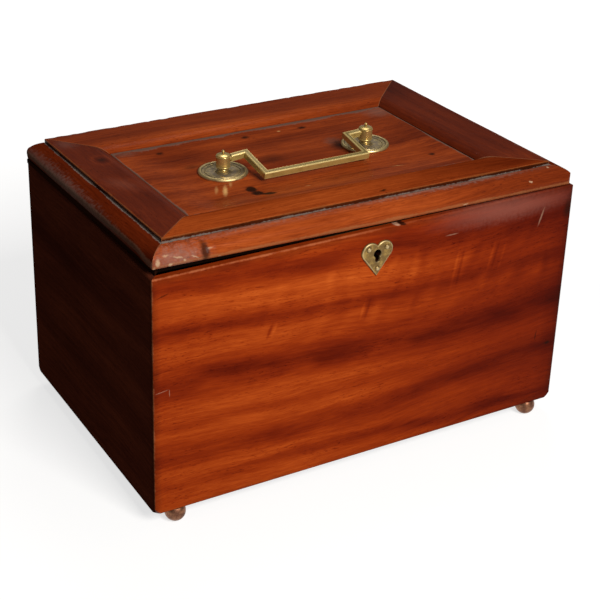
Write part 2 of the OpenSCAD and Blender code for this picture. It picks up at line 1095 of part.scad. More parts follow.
// half section of a post, height zero at the panel
module post_section() {
  cap_z = barrel_lo + barrel_h;
  dome_z = cap_z + cap_t;
  dome_r = (cap_r * cap_r + dome_h * dome_h) / (2 * dome_h);
  translate([0, -panel_t - nut_t])
    square([shank_d / 2, panel_t + nut_t + collar_h + over]);
  translate([0, collar_h])
    square([flange_r, flange_t]);
  difference() {
    translate([0, collar_h])
      square([flange_r, barrel_lo - collar_h]);
    translate([neck_r + cove_r, collar_h + flange_t + (barrel_lo - collar_h - flange_t) / 2])
      circle(cove_r);
  }
  translate([0, barrel_lo])
    square([post_d / 2, barrel_h]);
  for (z = [barrel_lo + line_bead, cap_z - line_bead])
    translate([post_d / 2 - line_bead / 2, z])
      circle(line_bead);
  translate([0, cap_z - over])
    square([cap_r, cap_t + over]);
  intersection() {
    translate([0, dome_z + dome_h - dome_r])
      circle(dome_r);
    translate([0, dome_z - over])
      square([cap_r, dome_h + 2 * over]);
  }
  intersection() {
    translate([0, dome_z + dome_h + finial_h])
      circle(finial_r);
    translate([0, dome_z])
      square([2 * finial_r, dome_h + finial_h + 2 * finial_r]);
  }
  translate([0, dome_z])
    square([finial_neck, dome_h + finial_h]);
}

module post(s) {
  difference() {
    translate([s * post_x, handle_y, panel_z])
      rotate_extrude()
        post_section();
    translate([s * (post_x - post_d), handle_y, pivot_z])
      rotate([0, 90 * s, 0])
        cylinder(h = post_d + pivot_in + clear, r = pivot_d / 2 + run_r);
  }
}

module left_post() {
  color(brass)
    post(-1);
}

module right_post() {
  color(brass)
    post(1);
}

module nut(s) {
  translate([s * post_x, handle_y, panel_z - panel_t - nut_t])
    difference() {
      translate([-nut_s / 2, -nut_s / 2, 0])
        cube([nut_s, nut_s, nut_t]);
      translate([0, 0, -over])
        cylinder(h = nut_t + 2 * over, r = shank_d / 2 + fit_r);
    }
}

module left_nut() {
  color(brass)
    nut(-1);
}

module right_nut() {
  color(brass)
    nut(1);
}

// rectangle with chamfered corners, used for the bar and for the outline of the bail
module chamfered(x0, x1, y0, y1) {
  c = bar_c;
  polygon([[x0, y0 + c], [x0 + c, y0], [x1 - c, y0], [x1, y0 + c],
    [x1, y1 - c], [x1 - c, y1], [x0 + c, y1], [x0, y1 - c]]);
}

// the two arms and the grip, pivot line along X, grip towards -Y
module bail_bow() {
  o = arm_x + bar_r;
  i = arm_x - bar_r;
  intersection() {
    translate([0, 0, -bar_r])
      linear_extrude(bar_s)
        polygon([[-o, bar_r], [-o, -arm_l - bar_r], [o, -arm_l - bar_r], [o, bar_r],
          [i, bar_r], [i, -arm_l + bar_r], [-i, -arm_l + bar_r], [-i, bar_r]]);
    translate([-o - over, 0, 0])
      along_x(2 * (o + over))
        chamfered(-arm_l - bar_r, bar_r, -bar_r, bar_r);
    translate([0, bar_r + over, 0])
      rotate([90, 0, 0])
        linear_extrude(arm_l + bar_s + 2 * over)
          chamfered(-o, o, -bar_r, bar_r);
  }
}

// bent end of the bail with its round pivot, on the +X side
module bail_end() {
  translate([arm_x, 0, 0])
    along_x(stub_end - arm_x)
      chamfered(-bar_r, bar_r, -bar_r, bar_r);
  translate([arm_x, 0, 0])
    rotate([0, 90, 0])
      cylinder(h = post_x + pivot_in - arm_x, d = pivot_d);
}

module bail() {
  color(brass)
    translate([0, handle_y, pivot_z])
      rotate([droop, 0, 0]) {
        bail_bow();
        bail_end();
        mirror([1, 0, 0])
          bail_end();
      }
}

front_board();
back_board();
left_side();
right_side();
bottom_board();
left_partition();
right_partition();
front_left_foot();
front_right_foot();
back_left_foot();
back_right_foot();
escutcheon();
escutcheon_pins();
lock_plate();
lock_cap();
drill_pin();
lock_bolt();
lock_spring();
lock_screws();
left_case_leaf();
right_case_leaf();
left_lid_leaf();
right_lid_leaf();
left_hinge_pin();
right_hinge_pin();
case_leaf_screws();
lid_leaf_screws();
lid_front_rail();
lid_back_rail();
lid_left_stile();
lid_right_stile();
lid_panel();
lid_front_moulding();
lid_left_moulding();
lid_right_moulding();
link_plate();
link_screws();
left_rose();
right_rose();
left_post();
right_post();
left_nut();
right_nut();
bail();
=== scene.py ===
"""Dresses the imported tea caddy: worn polished mahogany, aged brass and a pale studio floor.

The classes hold lengths in millimetres; meshes are written in metres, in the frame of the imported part.
"""

import logging
import math
from dataclasses import dataclass
from enum import Enum
from typing import Any, Mapping, Optional, Sequence, Union

import bpy
import numpy as np
from mathutils import Matrix, Vector


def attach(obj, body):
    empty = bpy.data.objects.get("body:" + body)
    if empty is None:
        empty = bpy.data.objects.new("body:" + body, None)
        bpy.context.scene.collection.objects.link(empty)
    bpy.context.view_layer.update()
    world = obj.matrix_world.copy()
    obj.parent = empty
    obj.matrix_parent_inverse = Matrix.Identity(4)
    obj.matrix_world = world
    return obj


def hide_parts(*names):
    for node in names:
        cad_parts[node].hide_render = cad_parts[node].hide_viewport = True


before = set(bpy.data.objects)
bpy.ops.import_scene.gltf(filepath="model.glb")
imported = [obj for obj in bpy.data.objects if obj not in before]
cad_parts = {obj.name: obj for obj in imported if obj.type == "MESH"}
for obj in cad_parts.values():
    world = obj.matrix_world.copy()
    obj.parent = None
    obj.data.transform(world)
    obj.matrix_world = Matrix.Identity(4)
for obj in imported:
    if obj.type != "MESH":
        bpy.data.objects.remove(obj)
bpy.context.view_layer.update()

LOG = logging.getLogger("tea_caddy")
MM = 0.001
FAR_MM = 99.0

Colour = tuple[float, float, float]
Triple = tuple[float, float, float]


class Axis(Enum):
    """A direction of the part's frame, by its place in a vector."""

    X = 0
    Y = 1
    Z = 2


class Body(Enum):
    """The moving bodies of the part."""

    CASE = "case"
    LID = "lid"
    BAIL = "bail"


class Slot(Enum):
    """Material slots of the record that new pieces take their finish from."""

    LID = "mahogany_lid"
    DARK = "mahogany_dark"
    BRASS = "aged_brass"


class Sig:
    """One output of a shader node, with arithmetic that adds Math nodes to its sheet."""

    def __init__(self, sheet: "Sheet", socket: Optional[bpy.types.NodeSocket]) -> None:
        """Keeps the sheet and the socket."""
        self.sheet = sheet
        self.socket = socket

    def __add__(self, other: "Value") -> "Sig":
        """Sum."""
        return self.sheet.math("ADD", self, other)

    __radd__ = __add__

    def __mul__(self, other: "Value") -> "Sig":
        """Product."""
        return self.sheet.math("MULTIPLY", self, other)

    __rmul__ = __mul__

    def __sub__(self, other: "Value") -> "Sig":
        """Difference."""
        return self.sheet.math("SUBTRACT", self, other)

    def __rsub__(self, other: "Value") -> "Sig":
        """Difference with the plain number first."""
        return self.sheet.math("SUBTRACT", other, self)

    def __truediv__(self, other: "Value") -> "Sig":
        """Quotient."""
        return self.sheet.math("DIVIDE", self, other)

    def __pow__(self, other: "Value") -> "Sig":
        """Power."""
        return self.sheet.math("POWER", self, other)

    def __abs__(self) -> "Sig":
        """Size without sign."""
        return self.sheet.math("ABSOLUTE", self, 0.0)

    def least(self, other: "Value") -> "Sig":
        """The smaller of two values."""
        return self.sheet.math("MINIMUM", self, other)

    def most(self, other: "Value") -> "Sig":
        """The larger of two values."""
        return self.sheet.math("MAXIMUM", self, other)

    def sine(self) -> "Sig":
        """Sine of the value in radians."""
        return self.sheet.math("SINE", self, 0.0)

    def smooth(self, start: float, end: float) -> "Sig":
        """Soft step.

        Args:
            start: value at which the result is 0.
            end: value at which the result is 1; it may lie below start.

        Returns:
            The step, from 0 to 1.
        """
        return self.sheet.node("ShaderNodeMapRange", {"interpolation_type": "SMOOTHSTEP"},
                               {"Value": self, "From Min": start, "From Max": end})


Value = Union[Sig, float]


class Sheet:
    """The node sheet of one material or of the world."""

    def __init__(self, tree: bpy.types.NodeTree) -> None:
        """Starts from an empty tree."""
        self.tree = tree
        self.tree.nodes.clear()

    def node(self, kind: str, settings: Mapping[str, Any], sockets: Mapping[Union[int, str], Any],
             output: Union[int, str] = 0) -> Sig:
        """Adds one node.

        Args:
            kind: the node's type.
            settings: properties, set first; "stops" gives a ramp's places and colours.
            sockets: values or links of the inputs.
            output: which output to hand back.

        Returns:
            The chosen output.
        """
        made = self.tree.nodes.new(kind)
        for key, value in settings.items():
            if key == "stops":
                self._set_stops(made.color_ramp, value)
            else:
                setattr(made, key, value)
        for key, value in sockets.items():
            if isinstance(value, Sig):
                self.tree.links.new(value.socket, made.inputs[key])
            else:
                made.inputs[key].default_value = value
        return Sig(self, made.outputs[output] if made.outputs else None)

    @staticmethod
    def _set_stops(ramp: bpy.types.ColorRamp, stops: Sequence[tuple[float, Colour]]) -> None:
        """Fills a colour ramp with the given places and colours.

        Args:
            ramp: the ramp to fill.
            stops: places and what stands there.
        """
        while len(ramp.elements) < len(stops):
            ramp.elements.new(1.0)
        for element, (place, colour) in zip(ramp.elements, stops):
            element.position = place
            element.color = (*colour, 1.0)

    def math(self, operation: str, first: Value, second: Value) -> Sig:
        """One Math node on two values."""
        return self.node("ShaderNodeMath", {"operation": operation}, {0: first, 1: second})

    def noise(self, place: Sig, scale: float, detail: float = 2.0, rough: float = 0.5) -> Sig:
        """Noise from 0 to 1 about 0.5 at a place."""
        return self.node("ShaderNodeTexNoise", {"noise_dimensions": "3D"},
                         {"Vector": place, "Scale": scale, "Detail": detail, "Roughness": rough}, "Fac")

    def ramp(self, value: Sig, stops: Sequence[tuple[float, Colour]]) -> Sig:
        """Colour of a value on a ramp."""
        return self.node("ShaderNodeValToRGB", {"stops": stops}, {0: value}, "Color")

    def curve(self, value: Sig, stops: Sequence[tuple[float, float]]) -> Sig:
        """Height of a value on a smooth line through the given points.

        Args:
            value: what to look up.
            stops: places and what stands there.

        Returns:
            The height.
        """
        grey = [(place, (level, level, level)) for place, level in stops]
        made = self.ramp(value, grey)
        made.socket.node.color_ramp.interpolation = "CARDINAL"
        return self.node("ShaderNodeRGBToBW", {}, {0: made})

    def mix(self, share: Value, first: Union[Sig, Colour], second: Union[Sig, Colour]) -> Sig:
        """Mix of two colours.

        Args:
            share: how much of the second colour, 0 to 1.
            first: colour below.
            second: colour above.

        Returns:
            The mixed colour.
        """
        below, above = (c if isinstance(c, Sig) else (*c, 1.0) for c in (first, second))
        return self.node("ShaderNodeMix", {"data_type": "RGBA"}, {0: share, 6: below, 7: above}, 2)

    def join(self, x: Value, y: Value, z: Value) -> Sig:
        """A vector from three values."""
        return self.node("ShaderNodeCombineXYZ", {}, {0: x, 1: y, 2: z})

    def add_vector(self, first: Sig, second: Sig) -> Sig:
        """Sum of two vectors."""
        return self.node("ShaderNodeVectorMath", {"operation": "ADD"}, {0: first, 1: second})

    def length(self, vector: Sig) -> Sig:
        """Length of a vector."""
        return self.node("ShaderNodeVectorMath", {"operation": "LENGTH"}, {0: vector}, "Value")

    def attribute(self, name: str) -> Sig:
        """A piece's own point attribute."""
        return self.node("ShaderNodeAttribute", {"attribute_name": name}, {}, "Fac")

    def place(self) -> "Place":
        """Object coordinates in millimetres."""
        raw = self.node("ShaderNodeTexCoord", {}, {}, "Object")
        return Place(self, self.node("ShaderNodeMapping", {}, {"Vector": raw, "Scale": (1 / MM,) * 3}))

    def oval(self, place: Sig, mark: "Mark") -> Sig:
        """Cover of a soft-edged oval mark.

        Args:
            place: coordinates in millimetres.
            mark: where the oval lies and how large it is.

        Returns:
            1 inside the oval, 0 outside.
        """
        turn = tuple(math.radians(a) for a in mark.turn)
        local = self.node("ShaderNodeMapping", {"vector_type": "TEXTURE"},
                          {"Vector": place, "Location": mark.centre, "Rotation": turn, "Scale": mark.size})
        return self.length(local).smooth(1.0, 1.0 - mark.edge)


class Place:
    """Coordinates on a piece, in millimetres, whole and by axis."""

    def __init__(self, sheet: Sheet, vector: Sig) -> None:
        """Splits a vector into its three values.

        Args:
            sheet: the material's sheet.
            vector: the whole vector.
        """
        self.vector = vector
        split = sheet.node("ShaderNodeSeparateXYZ", {}, {0: vector}).socket.node
        self.parts = [Sig(sheet, value) for value in split.outputs]

    def __getitem__(self, axis: Axis) -> Sig:
        """The value along one axis."""
        return self.parts[axis.value]


@dataclass(frozen=True)
class Mark:
    """A soft-edged oval on a face: centre and half sizes in millimetres, turn in degrees."""

    centre: Triple
    size: Triple
    turn: Triple = (0.0, 0.0, 0.0)
    edge: float = 0.5
    strength: float = 1.0


Row = tuple[float, ...]
LID_HIGH = 162.0
MARK_DEEP = 9.0


def face_marks(y: float, *rows: Row) -> tuple[Mark, ...]:
    """Marks on the front: x, z, half width, half height, lean, softness and strength of each."""
    return tuple(Mark((x, y, z), (wide, MARK_DEEP, tall), (0.0, lean, 0.0), edge, strength)
                 for x, z, wide, tall, lean, edge, strength in rows)


def top_marks(tall: float, *rows: Row) -> tuple[Mark, ...]:
    """Marks on the lid's top: x, y, half width, half depth, turn, softness and strength of each."""
    return tuple(Mark((x, y, LID_HIGH), (wide, deep, tall), (0.0, 0.0, turn), edge, strength)
                 for x, y, wide, deep, turn, edge, strength in rows)


def edge_marks(*rows: Row) -> tuple[Mark, ...]:
    """Marks on the mouldings: centre, half sizes, lean, softness and strength of each."""
    return tuple(Mark(row[:3], row[3:6], (0.0, row[6], 0.0), *row[7:]) for row in rows)


@dataclass(frozen=True)
class Edge:
    """A straight arris: two axes that hold still along it, their values, and how far polish still covers it."""

    first: Axis
    first_at: float
    second: Axis
    second_at: float
    cover: float = 0.0


@dataclass
class Look:
    """What a finish has worked out so far for a surface."""

    colour: Sig
    rough: Sig
    height: Sig


def new_material(name: str) -> tuple[bpy.types.Material, Sheet]:
    """An empty material and its sheet.

    Args:
        name: the material's name.

    Returns:
        The material and its sheet.
    """
    material = bpy.data.materials.new(name)
    material.use_nodes = True
    return material, Sheet(material.node_tree)


def close_surface(sheet: Sheet, look: Look, constants: Mapping[str, Any], bump: float) -> None:
    """Ends a material's sheet with the surface shader.

    Args:
        sheet: the sheet to end.
        look: colour, roughness and bump height in millimetres.
        constants: values that are the same all over the surface.
        bump: strength of the bump.
    """
    normal = sheet.node("ShaderNodeBump", {}, {"Height": look.height, "Distance": MM, "Strength": bump})
    sockets = {"Base Color": look.colour, "Roughness": look.rough, "Normal": normal, **constants}
    shader = sheet.node("ShaderNodeBsdfPrincipled", {}, sockets)
    sheet.node("ShaderNodeOutputMaterial", {}, {"Surface": shader})


Tones = tuple[tuple[float, Colour], ...]


@dataclass(frozen=True)
class Mahogany:
    """Polished mahogany: a level of red, broken by ribbon stripes, fine streaks, pores and soft shades."""

    name: str
    along: Axis
    across: Axis
    tones: Tones
    level: float
    seed: float = 0.0
    specular: float = 0.2
    rough: float = 0.3
    stripe_mm: float = 16.0
    stripe: float = 0.5
    fibre: float = 0.9
    shades: tuple[Mark, ...] = ()
    edges: tuple[Edge, ...] = ()
    # colour of the arrises: wear, and on the front board and the side mouldings also a painted highlight or sheen
    worn: Colour = (0.36, 0.15, 0.055)
    worn_mm: float = 0.9
    # dark soiling colour, also used for painted shade in the steps and the keyhole and for painted shadows on the panel
    grime_and_shade: Colour = (0.012, 0.004, 0.002)

    @property
    def deep(self) -> Axis:
        """The axis into the board."""
        return next(a for a in Axis if a not in (self.along, self.across))

    def flow(self, sheet: Sheet, p: Place) -> Sig:
        """Place across the grain, bent by a slow noise."""
        slow = sheet.join(p[self.along] / 130.0 + self.seed, p[self.across] / 50.0, p[self.deep] / 50.0)
        return p[self.across] + (sheet.noise(slow, 1.0, 1.0) - 0.5) * 14.0

    def drawn(self, sheet: Sheet, p: Place, flow: Sig, along_mm: float, across_mm: float) -> Sig:
        """Coordinates drawn out along the grain.

        Args:
            sheet: the material's sheet.
            p: coordinates in millimetres.
            flow: place across the grain.
            along_mm: length of one unit along the grain.
            across_mm: length of one unit across the grain.

        Returns:
            The scaled vector, grain first.
        """
        return sheet.join(p[self.along] / along_mm + self.seed, flow / across_mm, p[self.deep] / across_mm)

    def ribbon(self, sheet: Sheet, p: Place, flow: Sig) -> Sig:
        """Slow light and dark stripes about 1.

        Args:
            sheet: the material's sheet.
            p: coordinates in millimetres.
            flow: place across the grain.

        Returns:
            The factor.
        """
        wave = sheet.noise(self.drawn(sheet, p, flow, 380.0, self.stripe_mm), 1.0, 2.0, 0.5) - 0.5
        cloud = sheet.noise(self.drawn(sheet, p, flow, 60.0, 34.0), 1.0, 2.0, 0.5) - 0.5
        return wave * (2.0 * self.stripe) + cloud * 0.6 + 1.0

    def grain(self, sheet: Sheet, p: Place, flow: Sig) -> Sig:
        """Fine streaks and hairs about 1.

        Args:
            sheet: the material's sheet.
            p: coordinates in millimetres.
            flow: place across the grain.

        Returns:
            The factor.
        """
        streak = sheet.noise(self.drawn(sheet, p, flow, 48.0, 1.7), 1.0, 3.0, 0.6) - 0.5
        hair = sheet.noise(self.drawn(sheet, p, flow, 9.0, 0.55), 1.0, 2.0, 0.6) - 0.5
        return streak * self.fibre + hair * self.fibre + 1.0

    def pores(self, sheet: Sheet, p: Place, flow: Sig) -> Sig:
        """Short dark pores lying along the grain, 0 to 1.

        Args:
            sheet: the material's sheet.
            p: coordinates in millimetres.
            flow: place across the grain.

        Returns:
            The cover.
        """
        dash = sheet.noise(self.drawn(sheet, p, flow, 3.2, 0.5), 1.0, 1.0, 0.5)
        field = sheet.noise(self.drawn(sheet, p, flow, 30.0, 9.0), 1.0, 1.0)
        return dash.smooth(0.6, 0.73) * field.smooth(0.32, 0.66)

    def edge_distance(self, p: Place) -> Optional[Sig]:
        """Distance to the nearest arris: the least of the distances to the listed lines.

        Args:
            p: coordinates in millimetres.

        Returns:
            The distance, or nothing where no arris is listed.
        """
        nearest: Optional[Sig] = None
        for edge in self.edges:
            a = p[edge.first] - edge.first_at
            b = p[edge.second] - edge.second_at
            reach = (a * a + b * b) ** 0.5 + edge.cover
            nearest = reach if nearest is None else nearest.least(reach)
        return nearest

    def wear(self, p: Place) -> Value:
        """Share of the arris colour: wood showing through the polish, on some faces also a painted highlight."""
        return 0.7

    def age(self, sheet: Sheet, p: Place, look: Look) -> None:
        """Wear along the arrises, on the front board also a painted highlight, and soiling beside them.

        Args:
            sheet: the material's sheet.
            p: coordinates in millimetres.
            look: the surface so far, which is changed.
        """
        reach = self.edge_distance(p)
        if reach is None:
            return
        patch = sheet.noise(p.vector, 0.07, 3.0, 0.6)
        fine = sheet.noise(p.vector, 0.9, 2.0, 0.5)
        # wood showing through on the arrises, and on the front board a painted highlight along its top edge
        wear_and_sheen_mask = (reach - (patch - 0.5) * 2.2 - (fine - 0.5) * 0.8).smooth(self.worn_mm + 0.7, self.worn_mm - 0.2)
        darkened = (reach + patch * 7.0).smooth(9.0, 4.0)
        look.colour = sheet.mix(darkened * 0.35, look.colour, self.grime_and_shade)
        look.colour = sheet.mix(wear_and_sheen_mask * self.wear(p), look.colour, self.worn)
        look.rough = look.rough + wear_and_sheen_mask * 0.15
        look.height = look.height - wear_and_sheen_mask * fine * 0.1

    def material(self) -> bpy.types.Material:
        """Builds the node material.

        Returns:
            The finished material.
        """
        material, sheet = new_material(self.name)
        p = sheet.place()
        flow = self.flow(sheet, p)
        tone = self.ribbon(sheet, p, flow) * self.grain(sheet, p, flow) * self.level
        for mark in self.shades:
            tone = tone * (sheet.oval(p.vector, mark) * mark.strength + 1.0)
        pore = self.pores(sheet, p, flow)
        tone = tone * (1.0 - pore * 0.5)
        haze = sheet.noise(p.vector, 0.035, 2.0, 0.5)
        swell = sheet.noise(p.vector, 0.022, 1.0, 0.4)
        look = Look(sheet.ramp(tone, self.tones), haze * 0.16 + pore * 0.2 + (self.rough - 0.08),
                    swell * 0.5 - pore * 0.05)
        self.age(sheet, p, look)
        close_surface(sheet, look, {"Specular IOR Level": self.specular}, 0.35)
        return material

    def stain(self, sheet: Sheet, p: Place, look: Look, marks: Sequence[Mark], colour: Colour, shake: float) -> None:
        """Lays soft ovals of one colour on the surface, their outlines broken by noise.

        Args:
            sheet: the material's sheet.
            p: coordinates in millimetres.
            look: the surface so far.
            marks: the ovals.
            colour: their colour.
            shake: how far the noise moves an outline, in millimetres.
        """
        field = sheet.node("ShaderNodeTexNoise", {}, {"Vector": p.vector, "Scale": 0.5, "Detail": 2.0}, "Color")
        around = sheet.node("ShaderNodeVectorMath", {"operation": "MULTIPLY_ADD"},
                            {0: field, 1: (shake,) * 3, 2: (-shake / 2,) * 3})
        bent = sheet.add_vector(p.vector, around)
        for mark in marks:
            look.colour = sheet.mix(sheet.oval(bent, mark) * mark.strength, look.colour, colour)


@dataclass(frozen=True)
class Ribbon:
    """A dark ribbon across the front: its height at places along the board, half width and depth at both ends."""

    path: tuple[tuple[float, float], ...]
    half: tuple[float, float]
    depth: tuple[float, float]


@dataclass(frozen=True)
class FrontMahogany(Mahogany):
    """The figured front board: sloping dark ribbons and a leaning ripple figure high on the right."""

    half_x: float = 135.0
    tall: float = 160.0
    fall: tuple[tuple[float, float], ...] = ((0.0, 1.0), (1.0, 1.0))
    ribbons: tuple[Ribbon, ...] = ()
    # bruise marks, and a painted shade that fills the keyhole
    bruises_and_shade: tuple[Mark, ...] = ()
    scratches: tuple[Mark, ...] = ()
    # painted reflection: a purplish sheen high on the right of the board
    bloom_and_sheen: tuple[Mark, ...] = ()

    def span(self, p: Place) -> Sig:
        """Share of the board's length, 0 at the left end."""
        return (p[Axis.X] + self.half_x) / (2 * self.half_x)

    def height(self, sheet: Sheet, p: Place, path: Sequence[tuple[float, float]]) -> Sig:
        """Height of a path above the floor at each place along the board, in millimetres."""
        stops = [((x + self.half_x) / (2 * self.half_x), z / self.tall) for x, z in path]
        return sheet.curve(self.span(p), stops) * self.tall

    def flow(self, sheet: Sheet, p: Place) -> Sig:
        """Place across the grain, following the slope of the upper and of the lower ribbons.

        Args:
            sheet: the material's sheet.
            p: coordinates in millimetres.

        Returns:
            The place, in millimetres.
        """
        upper, lower = (self.height(sheet, p, self.ribbons[k].path) - self.ribbons[k].path[0][1] for k in (2, 4))
        share = p[Axis.Z].smooth(48.0, 78.0)
        slow = sheet.join(p[Axis.X] / 75.0 + self.seed, p[Axis.Z] / 40.0, 0.0)
        bend = (sheet.noise(slow, 1.0, 1.0) - 0.5) * 6.0
        return p[Axis.Z] - upper * share - lower * (1.0 - share) + bend

    def ribbon(self, sheet: Sheet, p: Place, flow: Sig) -> Sig:
        """The level along the board, darkened by each ribbon with a feathered edge.

        Args:
            sheet: the material's sheet.
            p: coordinates in millimetres.
            flow: place across the grain.

        Returns:
            The factor.
        """
        span = self.span(p)
        slow = sheet.noise(sheet.join(p[Axis.X] / 55.0, p[Axis.Z] / 26.0, 3.0), 1.0, 2.0, 0.5) - 0.5
        feather = sheet.noise(self.drawn(sheet, p, flow, 30.0, 3.4), 1.0, 3.0, 0.6) - 0.5
        z = p[Axis.Z] + slow * 7.0 + feather * 7.0
        patch = sheet.noise(sheet.join(p[Axis.X] / 38.0, p[Axis.Z] / 16.0, 8.0), 1.0, 2.0, 0.5).smooth(0.3, 0.7)
        level = sheet.curve(span, self.fall)
        for band in self.ribbons:
            wide = span * (band.half[1] - band.half[0]) + band.half[0]
            deep = span * (band.depth[1] - band.depth[0]) + band.depth[0]
            off = abs(z - self.height(sheet, p, band.path)) / (wide * 2.2)
            level = level * (1.0 - off.smooth(1.0, 0.0) * deep * (patch * 0.5 + 0.7))
        cloud = sheet.noise(self.drawn(sheet, p, flow, 42.0, 9.0), 1.0, 3.0, 0.6) - 0.5
        return level * (cloud * 0.55 + 1.0) * self.ripple(sheet, p)

    def ripple(self, sheet: Sheet, p: Place) -> Sig:
        """Leaning light and dark flames about 1, in patches high on the board.

        Args:
            sheet: the material's sheet.
            p: coordinates in millimetres.

        Returns:
            The factor.
        """
        x, z = p[Axis.X], p[Axis.Z]
        lean = x - z * 0.3
        drift = sheet.noise(sheet.join(x / 26.0, z / 34.0, 1.0), 1.0, 1.0) * 11.0
        flame = (lean / 2.9 + drift).sine()
        patch = sheet.noise(sheet.join(lean / 15.0, z / 22.0, 5.0), 1.0, 1.0).smooth(0.42, 0.62)
        high = z.smooth(90.0, 104.0) * z.smooth(142.0, 130.0)
        return flame * patch * high * (x.smooth(-110.0, 90.0) * 0.12 + 0.05) + 1.0

    def wear(self, p: Place) -> Value:
        """Share of the arris colour, wear and a painted highlight of the top edge: strong at the left, faint at the
        right where rubbing has smoothed it.
        """
        return p[Axis.X].smooth(50.0, -60.0) * 0.6 + 0.05

    def age(self, sheet: Sheet, p: Place, look: Look) -> None:
        """Adds a painted reflection high on the right, bruise marks with a painted shade in the keyhole, and scratches
        to the arrises after their wear.

        Args:
            sheet: the material's sheet.
            p: coordinates in millimetres.
            look: the surface so far, which is changed.
        """
        # painted reflection: a purplish sheen high on the right of the board
        self.stain(sheet, p, look, self.bloom_and_sheen, (0.27, 0.1, 0.075), 6.0)
        super().age(sheet, p, look)
        # bruise marks, and a painted shade that fills the keyhole
        self.stain(sheet, p, look, self.bruises_and_shade, self.grime_and_shade, 1.6)
        self.stain(sheet, p, look, self.scratches, (0.4, 0.23, 0.15), 0.5)


@dataclass(frozen=True)
class LidMahogany(Mahogany):
    """Mahogany of the lid: faint arrises, wax and painted shade in the steps, thin mitre lines, painted shade under the
    mouldings, small knots, burn marks, painted shadows and glints.
    """

    wax: Colour = (0.23, 0.19, 0.165)
    wax_mm: float = 0.0
    wax_share: float = 0.65
    step_shade_mm: float = 1.0
    arris_mm: float = 0.5
    arris_share: float = 0.5
    mitre: Colour = (0.26, 0.11, 0.05)
    # colour of a painted shade on the undersides and lips of the mouldings
    under: Colour = (0.008, 0.0035, 0.002)
    top_z: float = 0.0
    # colour of chip marks and of painted glints
    chip_and_glint: Colour = (0.5, 0.33, 0.2)
    # burn marks, and on the panel painted shadows of the posts and the handle's left arm
    burns_and_shadows: tuple[Mark, ...] = ()
    # chip marks, painted glints and a painted reflection of the left post
    chips_and_glints: tuple[Mark, ...] = ()
    # wax haze, and painted sheen on the left stile and on the front moulding's left end
    bloom_and_sheen: tuple[Mark, ...] = ()

    def age(self, sheet: Sheet, p: Place, look: Look) -> None:
        """Wear and painted sheen, wax dust and painted shade, and mitre lines from the piece's own distances to its
        arrises, steps and mitres.

        Args:
            sheet: the material's sheet.
            p: coordinates in millimetres.
            look: the surface so far, which is changed.
        """
        arris, step, mitre = (sheet.attribute(n) for n in ("arris", "step", "mitre"))
        patch = sheet.noise(p.vector, 0.06, 3.0, 0.6)
        fine = sheet.noise(p.vector, 0.7, 2.0, 0.6)
        plain = sheet.mix(mitre.smooth(0.5, 0.1) * 0.5, look.colour, self.mitre)
        # wax haze, and on some pieces a painted sheen
        self.stain(sheet, p, look, self.bloom_and_sheen, self.wax, 8.0)
        # wood showing through on the arrises; on the side mouldings, which have no gloss, a painted sheen along the
        # nose
        wear_and_sheen_mask = (arris - (patch - 0.5) * 1.6 - (fine - 0.5)).smooth(self.arris_mm + 0.5, self.arris_mm - 0.3)
        # painted shade darkening the steps and the panel's sunken border
        darkened = (step - (patch - 0.5) * 2.0).smooth(self.step_shade_mm + 0.9, self.step_shade_mm - 0.2)
        look.colour = sheet.mix(darkened * 0.85, look.colour, self.grime_and_shade)
        look.colour = sheet.mix(wear_and_sheen_mask * self.arris_share, look.colour, self.worn)
        look.colour = sheet.mix(mitre.smooth(0.5, 0.1) * 0.5, look.colour, self.mitre)
        # painted shade on the undersides and lips of the mouldings
        look.colour = sheet.mix(sheet.attribute("shade").smooth(0.2, 0.9), look.colour, self.under)
        look.rough = look.rough + wear_and_sheen_mask * 0.1
        look.height = look.height - wear_and_sheen_mask * fine * 0.08
        if self.wax_mm > 0.0:
            wide = (patch - 0.5) * 3.4 + (fine - 0.5) * 1.6 + self.wax_mm
            dust = (step - wide).smooth(0.45, -0.25)
            look.colour = sheet.mix(dust * self.wax_share, look.colour, self.wax)
            look.rough = look.rough + dust * 0.3
        # burn marks, and on the panel painted shadows of the posts and the handle's left arm
        self.stain(sheet, p, look, self.burns_and_shadows, self.grime_and_shade, 2.0)
        # chip marks, painted glints and a painted reflection of the left post
        self.stain(sheet, p, look, self.chips_and_glints, self.chip_and_glint, 1.2)
        if self.top_z > 0.0:
            look.colour = sheet.mix(p[Axis.Z].smooth(self.top_z - 1.0, self.top_z + 1.0), plain, look.colour)


@dataclass(frozen=True)
class InsideWood(Mahogany):
    """Unpolished wood of the wells: paler, dry and open in the grain."""

    def age(self, sheet: Sheet, p: Place, look: Look) -> None:
        """Dust and tea stains in soft patches.

        Args:
            sheet: the material's sheet.
            p: coordinates in millimetres.
            look: the surface so far, which is changed.
        """
        stain = sheet.noise(p.vector, 0.03, 3.0, 0.6).smooth(0.45, 0.7)
        look.colour = sheet.mix(stain * 0.5, look.colour, self.grime_and_shade)
        look.rough = look.rough + stain * 0.1


